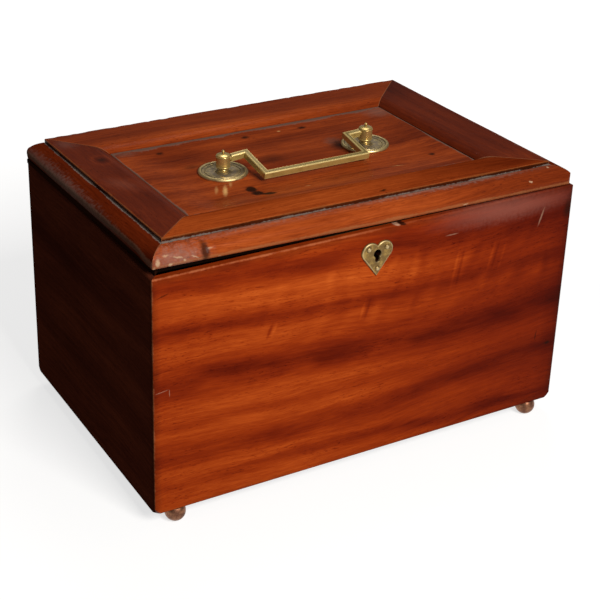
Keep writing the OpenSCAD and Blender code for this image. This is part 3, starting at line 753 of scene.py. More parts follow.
@dataclass(frozen=True)
class Brass:
    """Aged brass: clean metal showing through a brown skin that thickens in patches."""

    name: str
    bright: Colour
    skin: Colour
    cover: float = 0.5
    rough: float = 0.32
    grain_mm: float = 6.0
    metal: float = 1.0

    def age(self, sheet: Sheet, p: Place, look: Look) -> None:
        """Place for wear that only some pieces show."""

    def material(self) -> bpy.types.Material:
        """Builds the node material.

        Returns:
            The finished material.
        """
        material, sheet = new_material(self.name)
        p = sheet.place()
        cloud = sheet.noise(p.vector, 1.0 / self.grain_mm, 3.0, 0.65)
        speck = sheet.noise(p.vector, 1.6, 2.0, 0.6)
        tarnish = (cloud + speck * 0.35 + (self.cover - 0.68)).smooth(0.28, 0.72)
        colour = sheet.mix(tarnish, self.bright, self.skin)
        brush = sheet.noise(sheet.join(p[Axis.X] * 0.4, p[Axis.Y] * 3.0, p[Axis.Z] * 3.0), 1.0, 2.0)
        look = Look(colour, tarnish * 0.22 + brush * 0.08 + (self.rough - 0.04), speck * 0.02 + cloud * 0.03)
        self.age(sheet, p, look)
        close_surface(sheet, look, {"Metallic": self.metal}, 0.5)
        return material


@dataclass(frozen=True)
class BarBrass(Brass):
    """Handled brass bar: olive on its crown, which on the bail is a painted shade of the top faces, and bare brass with
    a painted highlight along its arrises.
    """

    # on the bail this is a painted shade of the top faces
    olive: Colour = (0.2, 0.15, 0.045)
    # bare brass and a painted highlight on the arrises, the plate's bevel and the pins' tops
    rubbed_and_highlight: Colour = (0.8, 0.66, 0.36)
    crown: float = 0.85
    shine: float = 0.5

    def age(self, sheet: Sheet, p: Place, look: Look) -> None:
        """Colours the crown, painted shade on the bail's top faces, and the arrises, bare brass with a painted
        highlight, by the piece's own marks.
        """
        # painted shade: the bail's top faces darker olive
        look.colour = sheet.mix(sheet.attribute("crown") * self.crown, look.colour, self.olive)
        # painted highlight on the chamfers, the plate's bevel and the pins' tops, over bare brass
        look.colour = sheet.mix(sheet.attribute("arris") ** 2.0 * self.shine, look.colour, self.rubbed_and_highlight)


@dataclass(frozen=True)
class RoseBrass(Brass):
    """Tarnished rose: grey-brown plate, bright rim, wax round the collar."""

    centre: Triple = (0.0, 0.0, 0.0)
    rim_mm: float = 13.2
    wax: Colour = (0.24, 0.2, 0.17)

    def age(self, sheet: Sheet, p: Place, look: Look) -> None:
        """Bright rim by distance from the post; wax in a ring round the collar.

        Args:
            sheet: the material's sheet.
            p: coordinates in millimetres.
            look: the surface so far, which is changed.
        """
        local = sheet.node("ShaderNodeMapping", {"vector_type": "TEXTURE"},
                           {"Vector": p.vector, "Location": self.centre, "Scale": (1.0, 1.0, 1000.0)})
        out = sheet.length(local)
        speck = sheet.noise(p.vector, 0.9, 3.0, 0.7)
        rim = (out + speck * 1.2).smooth(self.rim_mm - 0.4, self.rim_mm + 0.6)
        dust = (abs(out - 6.8) + speck * 5.0).smooth(4.6, 2.6)
        look.colour = sheet.mix(dust * 0.6, look.colour, self.wax)
        look.colour = sheet.mix(rim * 0.85, look.colour, self.bright)
        look.rough = look.rough + dust * 0.2 - rim * 0.12


@dataclass(frozen=True)
class Section:
    """The closed outline of a moulded length: q inwards, h up, in millimetres, anticlockwise."""

    q: np.ndarray
    h: np.ndarray
    arris: np.ndarray
    step: np.ndarray

    @staticmethod
    def trace(points: np.ndarray, arrises: Sequence[tuple[float, float]],
              steps: Sequence[tuple[float, float]]) -> "Section":
        """Makes a section and measures it.

        Args:
            points: outline, one row of (q, h) for each point.
            arrises: places of the worn outer edges.
            steps: places of the inner corners where wax dust lies and painted shade darkens them.

        Returns:
            The section, with each point's distance to the nearest of both kinds.
        """
        def nearest(places: Sequence[tuple[float, float]]) -> np.ndarray:
            """Least distance from each point to the places."""
            gaps = points[:, None, :] - np.array(places)[None]
            return np.sqrt((gaps ** 2).sum(-1)).min(1)

        return Section(points[:, 0], points[:, 1], nearest(arrises), nearest(steps))


def line(start: tuple[float, float], end: tuple[float, float], count: int) -> np.ndarray:
    """Points from start towards end, the end left out."""
    share = np.arange(count)[:, None] / count
    return np.array(start) * (1 - share) + np.array(end) * share


def arc(centre: tuple[float, float], radius: float, start: float, end: float, count: int) -> np.ndarray:
    """Points round a circle from one angle to another in degrees, the end left out."""
    angle = np.radians(start + (end - start) * np.arange(count) / count)
    return np.stack([centre[0] + radius * np.cos(angle), centre[1] + radius * np.sin(angle)], 1)


def wobble(u: np.ndarray, v: np.ndarray, seed: int) -> np.ndarray:
    """Smooth random field: a grid of random heights joined by cubic steps.

    Args:
        u: first coordinate, in grid units.
        v: second coordinate, in grid units.
        seed: picks the heights.

    Returns:
        Heights from -1 to 1.
    """
    size = 64
    heights = np.random.default_rng(seed).uniform(-1.0, 1.0, (size, size))
    u, v = np.broadcast_arrays(u, v)
    i, j = np.floor(u).astype(int), np.floor(v).astype(int)
    a, b = u - i, v - j
    a, b = a * a * (3 - 2 * a), b * b * (3 - 2 * b)
    i0, j0, i1, j1 = i % size, j % size, (i + 1) % size, (j + 1) % size
    low = heights[i0, j0] * (1 - a) + heights[i1, j0] * a
    high = heights[i0, j1] * (1 - a) + heights[i1, j1] * a
    return low * (1 - b) + high * b


def soft(value: np.ndarray, start: float, end: float) -> np.ndarray:
    """Cubic step from 0 at start to 1 at end."""
    share = np.clip((value - start) / (end - start), 0.0, 1.0)
    return share * share * (3 - 2 * share)


@dataclass
class Member:
    """A straight length of the lid: its ends mitred or square; near its end the section may turn into another.

    The lip's set-back and the lean are given at both ends, the sag at the start, middle and end.
    """

    name: str
    node: str
    slot: Slot
    corner: Triple
    along: Triple
    inward: Triple
    length: float
    start_mitre: float = 1.0
    end_mitre: float = 1.0
    seed: int = 1
    other: Optional[Section] = None
    lip: Optional[tuple[float, float]] = None
    sag: Triple = (0.0, 0.0, 0.0)
    lean: tuple[float, float] = (0.0, 0.0)


class Shell:
    """Turns arrays of points into mesh objects of the scene."""

    SHARP = math.radians(38.0)

    @classmethod
    def make(cls, name: str, points: np.ndarray, faces: Sequence[Sequence[int]],
             fields: Mapping[str, np.ndarray]) -> bpy.types.Object:
        """Makes one mesh object at the origin.

        Args:
            name: the object's name.
            points: places in millimetres, one row each.
            faces: corner numbers of each face, anticlockwise from outside.
            fields: point attributes by name.

        Returns:
            The linked object.
        """
        mesh = bpy.data.meshes.new(name)
        mesh.from_pydata((points * MM).tolist(), [], faces)
        for key, values in fields.items():
            layer = mesh.attributes.new(key, "FLOAT", "POINT")
            layer.data.foreach_set("value", np.ascontiguousarray(values, np.float32).ravel())
        mesh.polygons.foreach_set("use_smooth", np.ones(len(mesh.polygons), bool))
        mesh.set_sharp_from_angle(angle=cls.SHARP)
        mesh.validate()
        piece = bpy.data.objects.new(name, mesh)
        bpy.context.scene.collection.objects.link(piece)
        return piece

    @staticmethod
    def torus_faces(rings: int, around: int) -> list[list[int]]:
        """Faces of a grid of points that closes on itself both ways.

        Args:
            rings: number of rings.
            around: points in a ring.

        Returns:
            Corner numbers of each face.
        """
        i, j = np.meshgrid(np.arange(rings), np.arange(around), indexing="ij")
        k, n = (i + 1) % rings, (j + 1) % around
        return np.stack([i * around + j, k * around + j, k * around + n, i * around + n], -1).reshape(-1, 4).tolist()

    @staticmethod
    def tube_faces(rings: int, around: int, flip: bool) -> list[list[int]]:
        """Faces of a closed ring of points carried through a number of stations, with end caps.

        Args:
            rings: number of stations.
            around: points in a ring.
            flip: whether to turn the faces round.

        Returns:
            Corner numbers of each face.
        """
        t, s = np.meshgrid(np.arange(rings - 1), np.arange(around), indexing="ij")
        after = (s + 1) % around
        quads = np.stack([t * around + s, (t + 1) * around + s, (t + 1) * around + after, t * around + after], -1)
        quads = quads.reshape(-1, 4)
        first = np.arange(around)
        last = (rings - 1) * around + first
        if flip:
            return quads[:, ::-1].tolist() + [first[::-1].tolist(), last.tolist()]
        return quads.tolist() + [first.tolist(), last[::-1].tolist()]


def seat(piece: bpy.types.Object, node: str, body: Body, material: bpy.types.Material) -> None:
    """Puts a new piece in a CAD node's place.

    Args:
        piece: the new piece.
        node: the node that it stands for.
        body: the body that it rides on.
        material: its finish.
    """
    piece.data.materials.append(material)
    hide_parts(node)
    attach(piece, body.value)
    LOG.info("%s stands for %s", piece.name, node)


def dress(node: str, material: bpy.types.Material) -> None:
    """Gives a CAD node's own mesh a material.

    Args:
        node: the node's name.
        material: its finish.
    """
    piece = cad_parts[node]
    if not piece.material_slots:
        piece.data.materials.append(material)
    for slot in piece.material_slots:
        slot.material = material
    LOG.info("dressed %s with %s", node, material.name)


@dataclass
class Lid:
    """The moulded frame and panel, with the slight twist of an old board."""

    half_x: float = 134.5
    front: float = -85.8
    back: float = 87.2
    under: float = 153.95
    thick: float = 10.7
    front_w: float = 25.0
    back_w: float = 33.5
    left_w: float = 27.5
    right_w: float = 33.0
    arris_r: float = 0.6
    roll_w: float = 8.0
    roll_h: float = 3.0
    mould_w: float = 10.5
    mould_h: float = 8.2
    nose_q: float = 9.0
    lip_z: float = 153.2
    sag_h: float = 5.0
    low_points: int = 12
    panel_drop: float = 3.2
    panel_t: float = 5.5
    case_half: float = 135.0
    case_back: float = 87.7
    case_d: float = 174.0
    rise: tuple[float, float, float, float] = (1.4, -0.1, 5.12, 1.1)
    axis_y: float = 85.7
    axis_z: float = 153.45
    stop_half: float = 50.0
    stop_gap: float = 0.15
    hinge_x: float = 80.0
    leaf_l: float = 38.0
    leaf_w: float = 9.2
    leaf_t: float = 1.5
    barrel_r: float = 2.9
    flat_x: float = 66.0
    flat_front: float = -27.0
    flat_back: float = 32.0
    pitch: float = 0.9
    rail_wear: float = 0.3
    mould_wear: float = 0.25
    low_nose: tuple[float, float] = (1.0, 0.5)
    high_nose: tuple[float, float] = (3.8, 1.0)
    lip_points: tuple[int, int] = (3, 5)
    turn_mm: tuple[float, float] = (22.0, 4.0)
    leaf_play: float = 0.3
    upper_h: tuple[float, float] = (1.0, 3.0)
    arris_mm: float = 1.6
    nick_mm: float = 3.1
    slow_mm: tuple[float, float] = (24.0, 18.0)
    slow_h: float = 0.06
    dent_mm: tuple[float, float] = (2.2, 1.7)
    dent_h: float = 0.35
    mitre_mm: float = 0.3
    mitre_h: float = 0.12
    panel_points: tuple[int, int] = (190, 108)
    panel_margin: float = 1.2
    panel_fade: float = 27.0
    groove_mm: float = 0.55
    groove_h: float = 0.6
    ripple_h: float = 0.04

    @property
    def frame_x(self) -> float:
        """Half width of the frame inside the moulding."""
        return self.half_x - self.mould_w

    @property
    def frame_front(self) -> float:
        """Front of the frame inside the moulding."""
        return self.front + self.mould_w

    def twist(self, x: np.ndarray, y: np.ndarray) -> np.ndarray:
        """Rise of the warped lid, drawn evenly between its back left, back right, front left and front right.

        Args:
            x: places from left to right.
            y: places from front to back.

        Returns:
            The rise, in millimetres.
        """
        left = (self.case_half - x) / (2 * self.case_half)
        fore = (self.case_back - y) / self.case_d
        back_left, back_right, front_left, front_right = self.rise
        behind = back_left * left + back_right * (1 - left)
        before = front_left * left + front_right * (1 - left)
        return behind * (1 - fore) + before * fore

    def clear_stop(self, y: np.ndarray, z: np.ndarray) -> np.ndarray:
        """Keeps the lower back edge above the bevel that stops the open lid.

        Args:
            y: places from front to back.
            z: heights.

        Returns:
            The heights, raised where needed.
        """
        half = math.radians(self.stop_half)
        bevel = self.axis_z + (self.stop_gap + (y - self.axis_y) * math.sin(half)) / math.cos(half)
        return np.where(y > self.axis_y, np.maximum(z, bevel), z)

    def rail_section(self, w: float) -> Section:
        """Frame member of a given width: flat top, small outer arris, rolled inner edge.

        Args:
            w: the member's width.

        Returns:
            The section.
        """
        t, r = self.thick, self.arris_r
        rad = (self.roll_w ** 2 + self.roll_h ** 2) / (2 * self.roll_h)
        sweep = math.degrees(math.asin(self.roll_w / rad))
        toe = t - self.roll_h
        points = np.concatenate([
            line((0.0, 0.0), (w, 0.0), self.low_points), line((w, 0.0), (w, toe), 5),
            arc((w - self.roll_w, t - rad), rad, 90.0 - sweep, 90.0, 16),
            line((w - self.roll_w, t), (4.0, t), 16), line((4.0, t), (r, t), 8),
            arc((r, t - r), r, 90.0, 180.0, 6), line((0.0, t - r), (0.0, self.mould_h - 0.4), 5),
            line((0.0, self.mould_h - 0.4), (0.0, 0.0), 4)])
        return Section.trace(points, [(0.2, t - 0.2)], [(0.0, self.mould_h)])

    def hinge_chain(self, count: int) -> np.ndarray:
        """Lower edge of the back rail where a leaf and a barrel are let in, as many points as the plain one.

        Args:
            count: how many points.

        Returns:
            The points, as rows of (q, h).
        """
        inner = self.back - self.axis_y + self.leaf_w
        mid = (self.back - self.axis_y, self.axis_z - self.under)
        top = math.degrees(math.asin((self.leaf_t - mid[1]) / self.barrel_r))
        out = math.degrees(math.acos(-mid[0] / self.barrel_r))
        barrel = arc(mid, self.barrel_r, out, top, count - 4)
        return np.concatenate([barrel, [[inner, self.leaf_t]], [[inner, 0.0]],
                               line((inner + 4.0, 0.0), (self.back_w, 0.0), 2)])

    def mould_section(self, nose: float, cut: float) -> Section:
        """Edge moulding: a flattened thumb that falls to a nose, cut back below it, and a lip set back further.

        Args:
            nose: height of the nose.
            cut: how far the underside is cut back below the nose.

        Returns:
            The section.
        """
        w, h = self.mould_w, self.mould_h
        lip = cut + 0.5
        thumb = arc((0.0, 0.0), 1.0, 90.0, 180.0, 22) * (self.nose_q, h - nose) + (self.nose_q, nose)
        points = np.concatenate([
            line((cut, 0.0), (lip, 0.0), 3), line((lip, 0.0), (lip, -1.0), 1), line((lip, -1.0), (w, -1.0), 4),
            line((w, -1.0), (w, h), 5), line((w, h), (self.nose_q, h), 4), thumb,
            arc((0.7, nose), 0.7, 180.0, 225.0, 4), line((0.205, nose - 0.495), (cut, 0.0), 3)])
        return Section.trace(points, [(0.15, nose)], [(w, h)])

    def stations(self, length: float) -> np.ndarray:
        """Shares of the length at which the section stands, closer at the ends.

        Args:
            length: the member's length.

        Returns:
            The shares, from 0 to 1.
        """
        ends = np.array([0.0, 0.18, 0.45, 0.9]) / length
        middle = np.linspace(1.6 / length, 1 - 1.6 / length, int(length / self.pitch))
        return np.concatenate([ends, middle, 1 - ends[::-1]])

    def carry(self, member: Member, section: Section, wear: float) -> bpy.types.Object:
        """Carries a section along a member.

        A point is corner + inward * q + along * (start cut + share * run) + up * h; each end is cut
        back by q where it is mitred. Small random dents follow the section's normal, mitres sink a
        hair, and the twist lifts the whole.

        Args:
            member: the length to make.
            section: its outline.
            wear: depth of the dents along the arris.

        Returns:
            The finished object.
        """
        share = self.stations(member.length)
        q, h = np.tile(section.q, (len(share), 1)), np.tile(section.h, (len(share), 1))
        if member.other is not None:
            first, last = (member.length - left for left in self.turn_mm)
            turn = soft(share[:, None] * member.length, first, last)
            q, h = q * (1 - turn) + member.other.q * turn, h * (1 - turn) + member.other.h * turn
        spans: list[tuple[float, float]] = []
        if member.node == "lid_back_rail":
            mids = (member.length / 2 - self.hinge_x, member.length / 2 + self.hinge_x)
            spans = [(m - self.leaf_l / 2 - self.leaf_play, m + self.leaf_l / 2 + self.leaf_play) for m in mids]
            share, q, h = self.let_in(share, q, h, member.length, spans)
        q, h = self.bend(member, section, share, q, h)
        run = member.length - (member.start_mitre + member.end_mitre) * q
        reach = member.start_mitre * q + share[:, None] * run
        low = (np.arange(q.shape[1]) < self.low_points)[None]
        if spans:
            reach = np.where(low, share[:, None] * member.length, reach)
            reach = np.clip(reach, member.start_mitre * q, member.length - member.end_mitre * q)
        along, inward, up = np.array(member.along), np.array(member.inward), np.array((0.0, 0.0, 1.0))
        depth = self.dents(member, section, wear, reach, q, h)
        places = np.array(member.corner) + inward * q[..., None] + along * reach[..., None] + up * h[..., None]
        ends = np.minimum(share[:, None] * run, (1 - share[:, None]) * run)
        cut = np.where(share[:, None] < 0.5, member.start_mitre, member.end_mitre)
        places[..., 2] -= self.mitre_h * cut * np.exp(-(ends / self.mitre_mm) ** 2) * soft(h, *self.upper_h)
        places = places + self.normals(q, h, inward, up) * depth[..., None]
        places = self.round_corners(member, places)
        level = np.zeros(q.shape, bool)
        for start, end in spans:
            level |= ((share >= start / member.length) & (share <= end / member.length))[:, None] & low
        places[..., 2] += np.where(level, 0.0, self.twist(places[..., 0], places[..., 1]))
        places[..., 2] = np.where(section.h < -0.5, self.lip_z, places[..., 2])
        places[..., 2] = self.clear_stop(places[..., 1], places[..., 2])
        flip = float(np.cross(along, inward) @ up) > 0
        faces = Shell.tube_faces(len(share), q.shape[1], flip)
        # undersides and lips of the mouldings, which take a painted shade
        shaded_underside = (section.h <= 0.0) & ("moulding" in member.node)
        fields = {"arris": np.broadcast_to(section.arris, q.shape), "step": np.broadcast_to(section.step, q.shape),
                  "mitre": np.where(cut > 0, ends, FAR_MM), "shade": np.broadcast_to(shaded_underside * 1.0, q.shape)}
        return Shell.make(member.name, places.reshape(-1, 3), faces, fields)

    @staticmethod
    def normals(q: np.ndarray, h: np.ndarray, inward: np.ndarray, up: np.ndarray) -> np.ndarray:
        """Outward normals of the sections, each square to the line from the point before to the point after.

        Args:
            q: inward places, one row each station.
            h: heights, one row each station.
            inward: the direction in which q grows.
            up: the direction in which h grows.

        Returns:
            One unit vector for each point.
        """
        dq = np.roll(q, -1, 1) - np.roll(q, 1, 1)
        dh = np.roll(h, -1, 1) - np.roll(h, 1, 1)
        size = np.maximum(np.hypot(dq, dh), 1e-9)
        return (dh / size)[..., None] * inward - (dq / size)[..., None] * up

    def dents(self, member: Member, section: Section, wear: float, reach: np.ndarray, q: np.ndarray,
              h: np.ndarray) -> np.ndarray:
        """Wear of a member's surface: a nicked arris, slow waves, small dents and the gouge.

        Args:
            member: the length that the points belong to.
            section: its outline.
            wear: depth of the dents along the arris.
            reach: places along it.
            q: inward places.
            h: heights.

        Returns:
            How far each point moves outward, in millimetres.
        """
        (slow_along, slow_across), (dent_along, dent_across) = self.slow_mm, self.dent_mm
        round_edge = np.exp(-(section.arris / self.arris_mm) ** 2)[None]
        nick = np.clip(wobble(reach / self.nick_mm, q * 0.0 + member.seed, member.seed) - 0.1, 0.0, 1.0)
        slow = wobble(reach / slow_along, q / slow_across, member.seed + 7)
        dent = np.clip(wobble(reach / dent_along, (q + h) / dent_across, member.seed + 13) - 0.62, 0.0, 1.0)
        upper = soft(h, *self.upper_h)
        depth = -wear * round_edge * (0.35 + nick) + self.slow_h * slow * upper - self.dent_h * dent * upper
        return depth - self.gouge(member, reach, q, h)

    def bend(self, member: Member, section: Section, share: np.ndarray, q: np.ndarray,
             h: np.ndarray) -> tuple[np.ndarray, np.ndarray]:
        """Sets a member's lip back, lets its lower edge sag and leans its face, each evenly along it.

        Args:
            member: the length to bend.
            section: its outline.
            share: shares of the length.
            q: inward places, one row each station.
            h: heights, one row each station.

        Returns:
            The new inward places and heights.
        """
        if member.lip is not None:
            first, last = self.lip_points
            inner = (np.arange(q.shape[1]) >= first) & (np.arange(q.shape[1]) < last)
            q = np.where(inner[None], np.interp(share, (0.0, 1.0), member.lip)[:, None], q)
        drop = np.interp(share, (0.0, 0.5, 1.0), member.sag)[:, None]
        h = np.where(section.h < -0.5, h, h - drop * np.clip(1 - h / self.sag_h, 0.0, 1.0))
        lean = np.interp(share, (0.0, 1.0), member.lean)[:, None]
        return q + lean * (1 - q / self.mould_w), h

    def round_corners(self, member: Member, places: np.ndarray) -> np.ndarray:
        """Wears the lid's outer corners round: what lies outside a corner's circle is drawn in to it.

        Args:
            member: the length that the points belong to.
            places: its points.

        Returns:
            The points, moved in plan only.
        """
        x, y = places[..., 0], places[..., 1]
        fx, mx = self.frame_x, self.half_x
        if "moulding" in member.node:
            corners = ((mx, self.front, 5.0), (-mx, self.front, 2.5), (-mx - 1.5, self.back, 2.5))
        else:
            corners = ((-fx, self.back, 1.0), (fx, self.back, 1.5))
        for cx, cy, r in corners:
            mid_x, mid_y = cx - math.copysign(r, cx), cy - math.copysign(r, cy)
            dx, dy = x - mid_x, y - mid_y
            out = np.hypot(dx, dy)
            past = (dx * cx > 0) & (dy * cy > 0) & (out > r)
            scale = np.where(past, r / np.maximum(out, 1e-9), 1.0)
            x, y = mid_x + dx * scale, mid_y + dy * scale
        return np.stack([x, y, places[..., 2]], -1)

    def let_in(self, share: np.ndarray, q: np.ndarray, h: np.ndarray, length: float,
               spans: Sequence[tuple[float, float]]) -> tuple[np.ndarray, np.ndarray, np.ndarray]:
        """Lets the hinges into the lower edge: each span gets doubled stations at its ends.

        Args:
            share: shares of the length.
            q: inward places, one row each station.
            h: heights, one row each station.
            length: whole length.
            spans: start and end of each hinge along the length.

        Returns:
            The new shares, inward places and heights.
        """
        count = self.low_points
        chain = self.hinge_chain(count)
        cuts = np.sort(np.repeat(np.array(spans).ravel() / length, 2))
        merged = np.sort(np.concatenate([share, cuts]))
        rows = np.searchsorted(share, merged).clip(0, len(share) - 1)
        q, h = q[rows].copy(), h[rows].copy()
        for start, end in spans:
            a = np.searchsorted(merged, start / length) + 1
            b = np.searchsorted(merged, end / length, "right") - 2
            q[a:b + 1, :count], h[a:b + 1, :count] = chain[:, 0], chain[:, 1]
        return merged, q, h

    @staticmethod
    def gouge(member: Member, reach: np.ndarray, q: np.ndarray, h: np.ndarray) -> np.ndarray:
        """Depth of the rough chipped patch at the left end of the front moulding.

        Args:
            member: the length that the points belong to.
            reach: places along it.
            q: inward places.
            h: heights.

        Returns:
            The depth, in millimetres.
        """
        if member.node != "lid_front_moulding":
            return np.zeros_like(reach)
        near = soft(reach, 46.0, 12.0) * soft(h, 1.5, 3.0)
        lumps = np.clip(wobble(reach / 2.6, (q - h) / 2.0, 41) + 0.25, 0.0, 1.0)
        fine = np.clip(wobble(reach / 1.1, (q - h) / 1.0, 43), 0.0, 1.0)
        return near * (1.1 * lumps + 0.6 * fine)

    def members(self) -> list[tuple[Member, Section, float]]:
        """The seven moulded lengths, with their sections and depth of wear.

        Returns:
            Each length, its section and its wear.
        """
        low, high = self.mould_section(*self.low_nose), self.mould_section(*self.high_nose)
        fx, ff, z = self.frame_x, self.frame_front, self.under
        wf, wb, wl, wr = self.front_w, self.back_w, self.left_w, self.right_w
        wide, deep = 2 * fx, self.back - ff
        outer = self.back - self.front
        return [
            (Member("front_rail_wood", "lid_front_rail", Slot.LID, (-fx, ff, z), (1, 0, 0), (0, 1, 0), wide,
                    wl / wf, wr / wf, 3), self.rail_section(wf), self.rail_wear),
            (Member("back_rail_wood", "lid_back_rail", Slot.LID, (fx, self.back, z), (-1, 0, 0), (0, -1, 0), wide,
                    wr / wb, wl / wb, 4), self.rail_section(wb), self.rail_wear),
            (Member("left_stile_wood", "lid_left_stile", Slot.DARK, (-fx, self.back, z), (0, -1, 0), (1, 0, 0), deep,
                    wb / wl, wf / wl, 5), self.rail_section(wl), self.rail_wear),
            (Member("right_stile_wood", "lid_right_stile", Slot.DARK, (fx, ff, z), (0, 1, 0), (-1, 0, 0), deep,
                    wf / wr, wb / wr, 6), self.rail_section(wr), self.rail_wear),
            (Member("front_moulding_wood", "lid_front_moulding", Slot.LID, (-self.half_x, self.front, z), (1, 0, 0),
                    (0, 1, 0), 2 * self.half_x, seed=8, lip=(5.8, 0.6), sag=(0.9, 1.9, 1.75)), low, self.mould_wear),
            (Member("left_moulding_wood", "lid_left_moulding", Slot.DARK, (-self.half_x, self.back, z), (0, -1, 0),
                    (1, 0, 0), outer, start_mitre=0.0, seed=9, other=low, lip=(0.1, 3.0), sag=(0.0, 0.0, 0.9),
                    lean=(-1.5, 0.0)), high, self.mould_wear),
            (Member("right_moulding_wood", "lid_right_moulding", Slot.DARK, (self.half_x, self.front, z), (0, 1, 0),
                    (-1, 0, 0), outer, end_mitre=0.0, seed=10, lip=(0.6, 0.6), sag=(1.75, 1.1, 0.5),
                    lean=(0.0, 2.0)), low, self.mould_wear)]

    def panel(self) -> bpy.types.Object:
        """The sunken panel: a slab whose top follows the twist near its border and stays level at the handle.

        A point of the top is (x, y, level + twist * fade), with fade rising from 0 over the handle to 1
        at the border; the outermost half millimetre falls away as a small groove.

        Returns:
            The finished object.
        """
        x0, x1 = self.left_w - self.frame_x, self.frame_x - self.right_w
        y0, y1 = self.frame_front + self.front_w, self.back - self.back_w
        level = self.under + self.thick - self.panel_drop
        lip = np.array([0.0, 0.25, 0.5])
        m = self.panel_margin
        xs, ys = (np.concatenate([a + lip, np.linspace(a + m, b - m, count), b - lip[::-1]])
                  for a, b, count in zip((x0, y0), (x1, y1), self.panel_points))
        x, y = np.meshgrid(xs, ys, indexing="ij")
        away = np.hypot(np.maximum(np.abs(x) - self.flat_x, 0.0),
                        np.maximum(np.maximum(self.flat_front - y, y - self.flat_back), 0.0))
        rise = self.twist(x, y) * soft(away, 0.0, self.panel_fade)
        ends = np.minimum(x - x0, x1 - x)
        border = np.minimum(ends, np.minimum(y - y0, y1 - y))
        # distance to the panel's border, along which wax dust and painted shade lie
        wax_and_shade_reach = np.minimum(ends, np.minimum(y - y0, (y1 - y) * 0.45))
        groove = self.groove_h * (1 - soft(border, 0.0, self.groove_mm))
        top = level + rise - groove + self.ripple_h * wobble(x / 30.0, y / 22.0, 21) * soft(away, 0.0, 10.0)
        low = level - self.panel_t + rise
        nx, ny = x.shape
        points = np.concatenate([np.stack([x, y, top], -1).reshape(-1, 3), np.stack([x, y, low], -1).reshape(-1, 3)])
        i, j = np.meshgrid(np.arange(nx - 1), np.arange(ny - 1), indexing="ij")
        cell = np.stack([i * ny + j, (i + 1) * ny + j, (i + 1) * ny + j + 1, i * ny + j + 1], -1).reshape(-1, 4)
        ring = np.concatenate([np.arange(nx - 1) * ny, (nx - 1) * ny + np.arange(ny - 1),
                               np.arange(nx - 1, 0, -1) * ny + ny - 1, np.arange(ny - 1, 0, -1)])
        after = np.roll(ring, -1)
        below = nx * ny
        wall = np.stack([ring, ring + below, after + below, after], -1)
        faces = np.concatenate([cell, cell[:, ::-1] + below, wall])
        step = np.concatenate([wax_and_shade_reach.ravel(), wax_and_shade_reach.ravel()])
        far = np.full(step.shape, FAR_MM)
        fields = {"arris": far, "step": step, "mitre": far, "shade": far * 0.0}
        return Shell.make("panel_wood", points, faces.tolist(), fields)

    def build(self, finishes: Mapping[str, bpy.types.Material]) -> None:
        """Makes and dresses every wooden piece of the lid.

        Args:
            finishes: materials by the CAD node that each piece stands for.
        """
        for member, section, wear in self.members():
            piece = self.carry(member, section, wear)
            seat(piece, member.node, Body.LID, finishes[member.node])
        seat(self.panel(), "lid_panel", Body.LID, finishes["lid_panel"])


